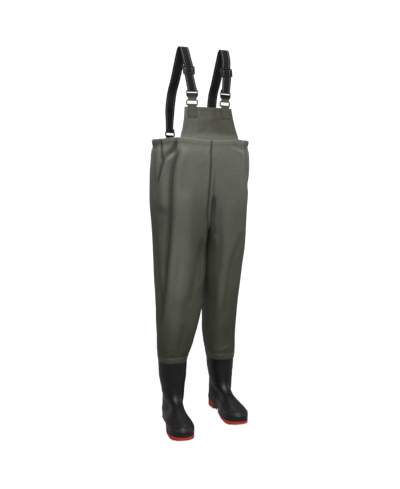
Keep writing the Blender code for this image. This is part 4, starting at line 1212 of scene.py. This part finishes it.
def make_buckle(stance):
    """Hook buckle: a plate with a slot for the webbing, and a hook spun round the ring's upper bar."""
    ring, turn = ring_place(FRONT, stance.side)
    bar = ring + BAR_OFFSET
    top = BUCKLE_TOP_Z - bar.z
    slot_top = top - BUCKLE_BAR
    slot_width, slot_height = BUCKLE_SLOT
    obj = start_box("buckle_hook_" + stance.name, (BUCKLE_WIDTH, BUCKLE_THICK, top), top / 2)
    open_hole(obj, slot_width / 2, slot_top - slot_height, slot_top)
    cut_lines((2, BUCKLE_NECK * share) for share in (1.0, BUCKLE_TAPER[0][0], BUCKLE_TAPER[1][0]))
    for height_share, share in BUCKLE_TAPER:
        level = BUCKLE_NECK * height_share
        narrow = mix(BUCKLE_WIDTH, BUCKLE_WAIST, share) / BUCKLE_WIDTH
        select_where(obj, "edges", lambda middle, spots: lie_at(level, spots))
        bpy.ops.transform.resize(value=(narrow, 1, 1), center_override=(0, 0, level))
    bpy.ops.mesh.select_all(action="SELECT")
    bpy.ops.transform.translate(value=(0, -HOOK_RADIUS, 0))
    select_where(obj, "faces", lambda middle, spots: lie_at(0.0, spots))
    bpy.ops.mesh.spin(steps=HOOK_STEPS, angle=math.pi, center=(0, 0, 0), axis=(1, 0, 0))
    bpy.ops.mesh.extrude_region_move(TRANSFORM_OT_translate={"value": (0, 0, RING_BAR)})
    round_corners(obj, BUCKLE_WIDTH / 2, top / 2, BUCKLE_CORNER, top / 2)
    bpy.ops.mesh.select_all(action="SELECT")
    bpy.ops.mesh.remove_doubles(threshold=WELD)
    bpy.ops.mesh.normals_make_consistent(inside=False)
    return put_fitting(obj, BUCKLE_EASE, bar, turn)


# Stitches

STITCH_AHEAD = 1e-4     # distance along the cloth over which a stitch takes its direction


def stitch_run(path, normals):
    """Points and faces of a row of stitches along a path that lies on cloth."""
    length = arc_length(path)
    at = np.arange(STITCH_PITCH / 2, length[-1], STITCH_PITCH)

    def sample(rows, places):
        return np.stack([np.interp(places, length, column) for column in rows.T], axis=-1)

    centre = sample(path, at)
    out = unit(sample(normals, at))
    run = unit(sample(path, at + STITCH_AHEAD) - sample(path, at - STITCH_AHEAD))
    side = np.cross(out, run)
    long, wide, high = STITCH
    shape = []
    for along, swell, sink in STITCH_PROFILE:
        for angle in np.linspace(0, 2 * math.pi, STITCH_SIDES, endpoint=False):
            height = swell * math.sin(angle) / 2 + sink
            shape.append((along * long, swell * wide / 2 * math.cos(angle), height * high))
    shape = np.array(shape)
    points = (centre[:, None] + run[:, None] * shape[:, :1] + side[:, None] * shape[:, 1:2]
              + out[:, None] * shape[:, 2:])
    one = grid_faces(len(STITCH_PROFILE), STITCH_SIDES, closed=True)
    faces = (one[None] + (np.arange(len(at)) * len(shape))[:, None, None]).reshape(-1, 4)
    return points.reshape(-1, 3), faces


def make_stitches(name, runs):
    points, faces, total = [], [], 0
    for path, normals in runs:
        more, quads = stitch_run(path, normals)
        points.append(more)
        faces.append(quads + total)
        total += len(more)
    obj = add_mesh(name, np.concatenate(points), np.concatenate(faces).tolist())
    edit_all(obj, (bpy.ops.mesh.normals_make_consistent, {"inside": False}))
    return obj


def on_cloth(x, z, surface, outward):
    """Path and normals of a run of stitches on a surface given as Y over X and Z."""
    x, z = np.broadcast_arrays(np.asarray(x, float), np.asarray(z, float))
    path = np.stack([x, surface(x, z), z], axis=-1)
    slope_x = (surface(x + GAP, z) - surface(x - GAP, z)) / (2 * GAP)
    slope_z = (surface(x, z + GAP) - surface(x, z - GAP)) / (2 * GAP)
    normals = unit(np.stack([-slope_x, np.ones_like(x), -slope_z], axis=-1)) * outward
    return path, normals


def tab_stitches(mount, side):
    """Runs of a stitched box on a tab."""
    def tab_face(x, z):
        return mount.surface(x, z) + mount.outward * (TAB_STANDOFF + WEB / 2)

    middle = side * mount.x
    half = TAB_WIDTH / 2 - STITCH_INSET
    low = mount.foot_z + STITCH_INSET
    high = mount.foot_z + mount.stitch_height
    steps = np.linspace(0, 1, STITCH_STEPS)
    places = [(middle + way * half, mix(low, high, steps)) for way in (-1, 1)]
    places += [(mix(middle - half, middle + half, steps), z) for z in (low, high)]
    return [on_cloth(x, z, tab_face, mount.outward) for x, z in places]


# All pieces

TROUSERS, HEM_RUNS = make_trousers()
PIECES = [
    # object, node that it stands for, material slot, finish
    (TROUSERS, "trousers", "coated_cloth", "cloth"),
    (make_bib(), "bib", "coated_cloth", "cloth"),
]
EXTRAS = [(make_stitches("waist_stitches", HEM_RUNS), "coated_cloth", "olive_thread")]
tab_runs = {mount: [] for mount in MOUNTS}
for stance in STANCES.values():
    end = stance.name
    sole = "sole_" + end
    PIECES += [
        (make_boot(stance), "boot_upper_" + end, "boot_rubber", "boot"),
        (eased_copy(sole, "out" + sole, SOLE_EASE), "out" + sole, "sole_rubber", sole),
        (eased_copy("footbed_" + end, "insole_" + end, FOOTBED_EASE), "insole_" + end, "insole_felt", "felt"),
        (make_brace(stance), "brace_" + end, "black_webbing", "elastic"),
        (make_slider(stance), "slider_" + end, "black_plastic", "black_plastic"),
        (make_buckle(stance), "buckle_" + end, "black_plastic", "buckle_plastic"),
    ]
    for mount in MOUNTS:
        ring, turn = ring_place(mount, stance.side)
        plastic = mount.shade + "_plastic"
        loop = make_ring(f"{mount.name}_loop_{end}", ring, turn)
        tab = make_tab(f"{mount.name}_webbing_{end}", mount, ring, turn)
        PIECES.append((loop, f"{mount.name}_ring_{end}", plastic, plastic))
        PIECES.append((tab, f"{mount.name}_tab_{end}", mount.shade + "_webbing", mount.shade + "_tab"))
        tab_runs[mount] += tab_stitches(mount, stance.side)
for mount, runs in tab_runs.items():
    stitches = make_stitches(mount.name + "_tab_stitches", runs)
    EXTRAS.append((stitches, mount.shade + "_webbing", mount.shade + "_thread"))


# Materials

class Socket:
    """Output of a shader node; arithmetic on it adds Math nodes."""

    def __init__(self, finish, socket):
        self.finish = finish
        self.socket = socket

    def math(self, operation, *values):
        return self.finish.node("ShaderNodeMath", {"operation": operation}, dict(enumerate(values)))

    def __add__(self, other):
        return self.math("ADD", self, other)

    def __radd__(self, other):
        return self.math("ADD", other, self)

    def __sub__(self, other):
        return self.math("SUBTRACT", self, other)

    def __rsub__(self, other):
        return self.math("SUBTRACT", other, self)

    def __mul__(self, other):
        return self.math("MULTIPLY", self, other)

    def __rmul__(self, other):
        return self.math("MULTIPLY", other, self)

    def __abs__(self):
        return self.math("ABSOLUTE", self)


class Finish:
    """One material, built from nodes; place is where a point lies on the object."""

    def __init__(self, name):
        self.material = bpy.data.materials.new(name)
        self.material.use_nodes = True
        self.tree = self.material.node_tree
        self.surface = self.tree.nodes["Principled BSDF"]
        self.place = self.node("ShaderNodeTexCoord", output="Object")

    def node(self, kind, settings=None, inputs=None, output=0):
        """Add a node: its settings come first, then the values or links of its sockets."""
        node = self.tree.nodes.new(kind)
        for key, value in (settings or {}).items():
            if key == "stops":
                ramp = node.color_ramp
                while len(ramp.elements) < len(value):
                    ramp.elements.new(0.5)
                for element, (place, shade) in zip(ramp.elements, value):
                    element.position = place
                    element.color = shade
            else:
                setattr(node, key, value)
        for key, value in (inputs or {}).items():
            self.feed(node.inputs[key], value)
        return Socket(self, node.outputs[output])

    def feed(self, target, value):
        if isinstance(value, Socket):
            self.tree.links.new(value.socket, target)
        else:
            target.default_value = value

    def set(self, **inputs):
        """Set or link the surface shader's sockets."""
        for key, value in inputs.items():
            self.feed(self.surface.inputs[key.replace("_", " ").title().replace("Ior", "IOR")], value)

    def part(self, vector, axis):
        return self.node("ShaderNodeSeparateXYZ", None, {0: vector}, axis)

    def attribute(self, name):
        return self.node("ShaderNodeAttribute", {"attribute_name": name}, output="Fac")

    def noise(self, scale, detail, rough, stretch=None):
        vector = self.place
        if stretch:
            vector = self.node("ShaderNodeMapping", None, {"Vector": vector, "Scale": stretch})
        return self.node("ShaderNodeTexNoise", None,
                         {"Vector": vector, "Scale": scale, "Detail": detail, "Roughness": rough})

    def ramp(self, value, stops):
        return self.node("ShaderNodeValToRGB", {"stops": stops}, {"Fac": value})

    def step(self, value, low, high):
        """0 below low, 1 above high."""
        return self.node("ShaderNodeMapRange", {"interpolation_type": "SMOOTHSTEP"},
                         {"Value": value, "From Min": low, "From Max": high})

    def blend(self, share, a, b):
        """Mix of two colours."""
        return self.node("ShaderNodeMix", {"data_type": "RGBA"}, {"Factor": share, 6: a, 7: b}, 2)

    def tint(self, base, value, low, high, strength, shade):
        """A colour with another laid over it, as a value goes from low to high."""
        return self.blend(self.step(value, low, high) * strength, base, shade)

    def bump(self, height, distance, strength, normal=None):
        inputs = {"Height": height, "Distance": distance, "Strength": strength}
        if normal:
            inputs["Normal"] = normal
        return self.node("ShaderNodeBump", None, inputs)


def colour(red, green, blue):
    """Linear colour of one given in the usual screen values."""
    shares = [value / 255 for value in (red, green, blue)]
    return tuple(((s + 0.055) / 1.055) ** 2.4 if s > 0.04 else s / 12.92 for s in shares) + (1.0,)


def grey(value):
    return colour(value, value, value)


CLOTH_TOP = 1.3
CLOTH_TONE_AND_PAINTED_SHADE = (
    # height, colour there: darker towards the boots, partly the coating's own tone and partly painted shade
    # where the light falls off down the legs
    (0.26, colour(46, 46, 31)),
    (0.38, colour(52, 52, 36)),
    (0.62, colour(67, 68, 53)),
    (0.87, colour(72, 73, 62)),
    (1.00, colour(98, 99, 88)),
    (1.16, colour(107, 108, 97)),
    # painted shade: the bib above the waist is made dark to hold back the light it catches as it leans back
    (1.19, colour(46, 46, 34)),
)
CLOTH_PALE = colour(112, 112, 100)
CLOTH_DARK = colour(33, 34, 26)
CLOTH_TINTS = (
    # what it follows, from, to, strength, colour
    ("cloud", 0.35, 0.75, 0.22, CLOTH_PALE),
    ("specks", 0.45, 0.75, 0.10, CLOTH_DARK),
    ("yarns", 0.84, 1.20, 0.20, CLOTH_DARK),
    # painted shade: the cloth is darkened in the troughs of its folds and where the waist's gathers sink
    ("troughs", 0.0010, 0.0080, 0.66, CLOTH_DARK),
    ("ridges", 0.0008, 0.0040, 0.18, CLOTH_PALE),
    # painted highlight: the welded bands round the hems are made paler
    ("bands", 0.3, 0.7, 0.17, CLOTH_PALE),
    # painted shade: the cloth is darkened along the grooves of its welded seams
    ("seams", 0.0008, 0.0034, 0.72, CLOTH_DARK),
    ("scuffs", 0.60, 0.78, 0.12, CLOTH_PALE),
)
YARN_LINES = {"Scale": 340.0, "Distortion": 0.6, "Detail": 1.0}
BOOT_DARK = grey(12)
BOOT_PALE = grey(20)
BOOT_DUST = colour(60, 58, 55)
DUST_HEIGHT = (0.035, 0.095)
SOLE_RED = colour(196, 48, 28)
SOLE_PALE = colour(208, 66, 42)
# darker red, painted shade over the heel
SOLE_HEEL_SHADE = colour(146, 52, 46)
SOLE_DIRT = colour(92, 36, 28)
HEEL_SHADE_REACH = (0.08, 0.12)       # distance forward of the heel at which the painted shade on the heel's red ends
DIRT_HEIGHT = (0.0, 0.010)
RED_HEIGHT = 0.0145             # top of the red rubber at the ball of the foot
RED_SPRING = (0.21, 0.33)
RED_RISE = 0.0105               # how far it rises towards the toe
RED_HEEL = (0.085, 0.100)       # the heel behind this is red to its top
RED_HEEL_RISE = 0.05
RED_SOFT = 0.0005               # half the width of the red's edge
RIB_PITCH = 0.0016              # webbing's ribs, in metres along it
YARN_COUNT = 24.0
SELVEDGE = (0.03, 0.075)        # shares of the webbing's width
LINE_PLACE = 0.17
LINE_HALF = (0.014, 0.026)
# grey of the scratches, and of the painted highlight on the buckles
PLASTIC_SCRATCH_AND_HIGHLIGHT = colour(96, 96, 92)
BUCKLE_HIGHLIGHT_HEIGHTS = (1.316, 1.337)     # heights over which the buckles' grey painted highlight, below, gives way to black


def cloth_finish():
    """Olive coated cloth: fine weave under a satin coating, worn paler on the ridges of its folds, with
    painted shade in their troughs and along the seams, a painted highlight on the hem bands, and painted
    shade down the legs and on the bib.
    """
    f = Finish("olive_coated_cloth")
    shades = [(height / CLOTH_TOP, shade) for height, shade in CLOTH_TONE_AND_PAINTED_SHADE]
    # the ramp over height holds painted shade: darker down the legs and on the bib
    base = f.ramp(f.part(f.place, "Z") * (1 / CLOTH_TOP), shades)
    cloud = f.noise(5.0, 4.0, 0.6, (1.0, 1.0, 0.45))
    fold = f.attribute("fold")
    masks = {
        "cloud": cloud,
        "specks": f.noise(900.0, 2.0, 0.7),
        "yarns": f.noise(420.0, 2.0, 0.6, (1.0, 1.0, 0.10)) + f.noise(420.0, 2.0, 0.6, (0.10, 0.10, 1.0)),
        "troughs": 0 - fold,
        "ridges": fold,
        "bands": f.attribute("band"),
        "seams": 0 - f.attribute("seam"),
        "scuffs": f.noise(38.0, 5.0, 0.7, (1.0, 1.0, 0.25)),
    }
    for mask, low, high, strength, shade in CLOTH_TINTS:
        base = f.tint(base, masks[mask], low, high, strength, shade)
    level = f.node("ShaderNodeMapping", None, {"Vector": f.place, "Scale": (1, 1, 0)})
    weave = f.node("ShaderNodeTexWave", {"bands_direction": "Z"}, {"Vector": f.place, **YARN_LINES})
    warp = f.node("ShaderNodeTexWave", {"bands_direction": "DIAGONAL"}, {"Vector": level, **YARN_LINES})
    grain = f.noise(420.0, 4.0, 0.65)
    puckers = f.noise(28.0, 3.0, 0.5, (1.0, 1.0, 0.35))
    normal = f.bump(puckers, 0.0022, 0.35)
    normal = f.bump(weave * 0.5 + warp * 0.5 + grain, 0.0003, 0.40, normal)
    rough = f.noise(16.0, 4.0, 0.6, (1.0, 1.0, 0.5))
    f.set(base_color=base, roughness=0.44 + rough * 0.20, normal=normal, specular_ior_level=0.34,
          coat_weight=0.10 + f.step(cloud, 0.3, 0.8) * 0.10, coat_roughness=0.42,
          sheen_weight=0.04, sheen_roughness=0.4)
    return f.material


def boot_finish():
    """Black satin rubber with a fine grain, a little dust and scuffs by the sole."""
    f = Finish("black_boot_rubber")
    cloud = f.noise(14.0, 4.0, 0.6)
    base = f.blend(f.step(cloud, 0.3, 0.75), BOOT_DARK, BOOT_PALE)
    low = 1 - f.step(f.part(f.place, "Z"), *DUST_HEIGHT)
    dust = f.step(f.noise(60.0, 5.0, 0.7), 0.50, 0.75) * low
    base = f.blend(dust * 0.30, base, BOOT_DUST)
    scratch = f.noise(90.0, 3.0, 0.6, (1.0, 0.15, 1.0))
    base = f.tint(base, scratch, 0.64, 0.74, 0.16, BOOT_DUST)
    normal = f.bump(f.noise(45.0, 2.0, 0.5), 0.0012, 0.25)
    normal = f.bump(f.noise(520.0, 3.0, 0.6), 0.00022, 0.35, normal)
    f.set(base_color=base, roughness=0.34 + cloud * 0.16 + dust * 0.2, normal=normal, specular_ior_level=0.36,
          coat_weight=0.04 + f.step(cloud, 0.35, 0.7) * 0.06, coat_roughness=0.32)
    return f.material


def sole_finish(stance):
    """Red moulded rubber, with painted shade over the heel's red, dirt where it rubs the ground, and a black
    forefoot edge above.
    """
    f = Finish("red_sole_rubber_" + stance.name)
    turn = stance.side * stance.toe_out
    ahead = Vector((math.sin(turn), -math.cos(turn), 0))
    heel = ahead.dot(Vector((stance.heel_x, stance.heel_y + FORWARD, 0)))
    along = f.node("ShaderNodeVectorMath", {"operation": "DOT_PRODUCT"}, {0: f.place, 1: ahead}, "Value")
    reach = along - heel
    height = f.part(f.place, "Z")
    cloud = f.noise(26.0, 4.0, 0.6)
    base = f.blend(f.step(cloud, 0.3, 0.75), SOLE_RED, SOLE_PALE)
    # painted shade: the heel's red is made darker
    base = f.blend((1 - f.step(reach, *HEEL_SHADE_REACH)) * 0.40, base, SOLE_HEEL_SHADE)
    dirt = f.noise(120.0, 5.0, 0.7)
    low = 1 - f.step(height, *DIRT_HEIGHT)
    base = f.blend(f.step(dirt, 0.42, 0.72) * (low * 0.55 + 0.12), base, SOLE_DIRT)
    red_top = RED_HEIGHT + f.step(reach, *RED_SPRING) * RED_RISE
    red_top = red_top + (1 - f.step(reach, *RED_HEEL)) * RED_HEEL_RISE
    base = f.blend(f.step(height - red_top, -RED_SOFT, RED_SOFT), base, BOOT_PALE)
    normal = f.bump(dirt, 0.0005, 0.3)
    normal = f.bump(f.noise(480.0, 3.0, 0.6), 0.0002, 0.35, normal)
    f.set(base_color=base, roughness=0.50 + dirt * 0.25, normal=normal, specular_ior_level=0.45)
    return f.material


def webbing_finish(name, ground, light, edge, line=None, inner=None):
    """Woven webbing; line is a pale stripe by each edge, and inner is painted light that makes the underside
    paler where it faces down.
    """
    f = Finish(name)
    spot = f.node("ShaderNodeUVMap", {"uv_map": "webbing"})
    u, v = f.part(spot, "X"), f.part(spot, "Y")
    from_edge = 0.5 - abs(u - 0.5)
    rib = f.node("ShaderNodeMath", {"operation": "SINE"}, {0: v * (2 * math.pi / RIB_PITCH)})
    yarn = f.node("ShaderNodeMath", {"operation": "SINE"}, {0: u * (2 * math.pi * YARN_COUNT)})
    weave = rib * 0.30 + yarn * 0.20 + rib * yarn * 0.25
    fuzz = f.noise(700.0, 3.0, 0.7)
    wear = f.noise(30.0, 4.0, 0.6)
    base = f.tint(ground, weave + fuzz, 0.25, 1.15, 0.75, light)
    base = f.tint(base, wear, 0.5, 0.8, 0.18, light)
    base = f.blend((1 - f.step(from_edge, *SELVEDGE)) * 0.6, base, edge)
    rise = weave * 0.5 + fuzz * 0.4
    # painted light: faces that look down are made paler, as if lit from below
    if inner:
        down = 0 - f.part(f.node("ShaderNodeNewGeometry", output="Normal"), "Z")
        base = f.tint(base, down, 0.05, 0.45, 0.8, inner)
    if line:
        stripe = 1 - f.step(abs(from_edge - LINE_PLACE), *LINE_HALF)
        broken = f.step(fuzz, 0.25, 0.50) * 0.35 + 0.65
        base = f.blend(stripe * broken, base, line)
        rise = rise + stripe * 0.6
    f.set(base_color=base, roughness=0.70 + fuzz * 0.2, normal=f.bump(rise, 0.00045, 0.75),
          specular_ior_level=0.18, sheen_weight=0.05)
    return f.material


def plastic_finish(name, dark, pale, gloss=0.38, highlight_heights=None):
    """Moulded plastic with a fine spark grain and scratches, with a grey painted highlight below a height."""
    f = Finish(name)
    cloud = f.noise(80.0, 4.0, 0.6)
    base = f.blend(f.step(cloud, 0.3, 0.75), dark, pale)
    scratch = f.noise(260.0, 3.0, 0.6, (0.12, 1.0, 1.0))
    base = f.tint(base, scratch, 0.62, 0.72, 0.20, PLASTIC_SCRATCH_AND_HIGHLIGHT)
    # painted highlight: grey below the given heights
    if highlight_heights:
        base = f.blend((1 - f.step(f.part(f.place, "Z"), *highlight_heights)) * 0.8, base, PLASTIC_SCRATCH_AND_HIGHLIGHT)
    normal = f.bump(f.noise(1400.0, 2.0, 0.6), 0.00012, 0.35)
    f.set(base_color=base, roughness=gloss + cloud * 0.18, normal=normal, specular_ior_level=0.22)
    return f.material


def felt_finish():
    f = Finish("grey_felt")
    fibre = f.noise(900.0, 5.0, 0.75, (1.0, 0.35, 1.0))
    cloud = f.noise(35.0, 4.0, 0.6)
    base = f.blend(f.step(fibre, 0.3, 0.7), colour(52, 53, 52), colour(96, 97, 94))
    base = f.tint(base, cloud, 0.45, 0.8, 0.4, colour(44, 43, 40))
    f.set(base_color=base, roughness=0.86 + cloud * 0.1, normal=f.bump(fibre, 0.0006, 0.7))
    return f.material


def thread_finish(name, dark, pale):
    f = Finish(name)
    twist = f.noise(1800.0, 2.0, 0.6)
    base = f.blend(f.step(twist, 0.3, 0.7), dark, pale)
    f.set(base_color=base, roughness=0.55 + twist * 0.25, normal=f.bump(twist, 0.0001, 0.5))
    return f.material


FINISHES = {
    "cloth": cloth_finish(),
    "boot": boot_finish(),
    "sole_right": sole_finish(STANCES["right"]),
    "sole_left": sole_finish(STANCES["left"]),
    "felt": felt_finish(),
    # the elastic's last colour is painted light on its underside
    "elastic": webbing_finish("black_elastic", grey(4), grey(11), grey(15), colour(104, 104, 102), grey(42)),
    "black_tab": webbing_finish("black_tab_webbing", grey(12), grey(32), grey(36)),
    "olive_tab": webbing_finish("olive_tab_webbing", colour(60, 60, 51), colour(84, 84, 74),
                                colour(30, 31, 24)),
    "black_plastic": plastic_finish("black_moulding", grey(10), grey(20)),
    "buckle_plastic": plastic_finish("black_buckle_moulding", grey(10), grey(20), 0.34, BUCKLE_HIGHLIGHT_HEIGHTS),
    "olive_plastic": plastic_finish("olive_moulding", colour(70, 71, 62), colour(92, 93, 82)),
    "olive_thread": thread_finish("olive_thread", colour(58, 59, 48), colour(92, 92, 78)),
    "black_thread": thread_finish("black_thread", colour(18, 18, 19), colour(50, 50, 51)),
}


def dress(piece, finish):
    piece.data.materials.clear()
    piece.data.materials.append(FINISHES[finish])
    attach(piece, "root")


for piece, node, slot, finish in PIECES:
    dress(piece, finish)
    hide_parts(node)
for piece, slot, finish in EXTRAS:
    dress(piece, finish)


# Floor, light and camera

FLOOR_RADIUS = 3.2
FLOOR_CLEAR = 0.84              # share of the white behind that shows through the floor
FLOOR_FADE = (0.25 * FLOOR_RADIUS, 0.92 * FLOOR_RADIUS)
SEEN_STRENGTH = 1.14
AROUND_COLOUR = (0.96, 0.98, 1, 1)
AROUND_STRENGTH = 0.20
LIGHTS = (
    # name, place, aim, size, power
    ("key", (-0.7, -2.0, 3.1), (0, 0, 1.3), (2.0, 1.5), 90),
    ("overhead", (-0.25, -0.45, 3.3), (-0.05, 0, 0), (0.8, 0.7), 24),
    ("fill", (-0.2, -3.2, 1.3), (0, 0, 0.8), (1.6, 1.2), 14),
    ("side", (2.6, -0.4, 1.6), (0, 0, 0.8), (1.4, 1.8), 16),
    ("back", (0.3, 2.9, 2.2), (0, 0, 0.8), (2.0, 1.8), 50),
)
CAMERA_PLACE = (-0.7277, -2.1909, 0.926)
CAMERA_WAY = (0.3032, 0.9494, -0.0823)
CAMERA_LENS = 40.95
CAMERA_SENSOR = 36.0


def set_facing(name, data, place, way):
    """Object at a place, whose -Z looks along a way."""
    obj = add_object(name, data)
    obj.location = place
    obj.rotation_euler = Vector(way).to_track_quat("-Z", "Y").to_euler()
    return obj


def stage_floor():
    bpy.ops.object.select_all(action="DESELECT")
    bpy.ops.mesh.primitive_circle_add(vertices=96, radius=FLOOR_RADIUS, fill_type="NGON")
    floor = bpy.context.object
    floor.name = "floor"
    f = Finish("pale_floor")
    distance = f.node("ShaderNodeVectorMath", {"operation": "LENGTH"}, {0: f.place}, "Value")
    cloud = f.noise(1.5, 3.0, 0.5)
    f.set(base_color=f.blend(cloud, (0.93, 0.93, 0.93, 1), (0.97, 0.97, 0.97, 1)), roughness=0.75)
    clear = f.node("ShaderNodeBsdfTransparent")
    share = FLOOR_CLEAR + f.step(distance, *FLOOR_FADE) * (1 - FLOOR_CLEAR)
    both = f.node("ShaderNodeMixShader", None, {0: share, 1: Socket(f, f.surface.outputs[0]), 2: clear})
    f.feed(f.tree.nodes["Material Output"].inputs["Surface"], both)
    floor.data.materials.append(f.material)


def studio_world():
    """White behind the object, and a greyer light from all round."""
    world = bpy.data.worlds.new("studio")
    bpy.context.scene.world = world
    world.use_nodes = True
    nodes, links = world.node_tree.nodes, world.node_tree.links
    seen = nodes["Background"]
    seen.inputs["Color"].default_value = (1, 1, 1, 1)
    seen.inputs["Strength"].default_value = SEEN_STRENGTH
    around = nodes.new("ShaderNodeBackground")
    around.inputs["Color"].default_value = AROUND_COLOUR
    around.inputs["Strength"].default_value = AROUND_STRENGTH
    path = nodes.new("ShaderNodeLightPath")
    both = nodes.new("ShaderNodeMixShader")
    links.new(path.outputs["Is Camera Ray"], both.inputs[0])
    links.new(around.outputs[0], both.inputs[1])
    links.new(seen.outputs[0], both.inputs[2])
    links.new(both.outputs[0], nodes["World Output"].inputs["Surface"])


stage_floor()
studio_world()
for name, place, aim, size, power in LIGHTS:
    light = bpy.data.lights.new(name, "AREA")
    light.shape = "RECTANGLE"
    light.size, light.size_y = size
    light.energy = power
    set_facing(name, light, place, Vector(aim) - Vector(place))
camera = bpy.data.cameras.new("camera")
camera.sensor_width = CAMERA_SENSOR
camera.lens = CAMERA_LENS
bpy.context.scene.camera = set_facing("camera", camera, CAMERA_PLACE, CAMERA_WAY)
bpy.context.scene.view_settings.view_transform = "Standard"
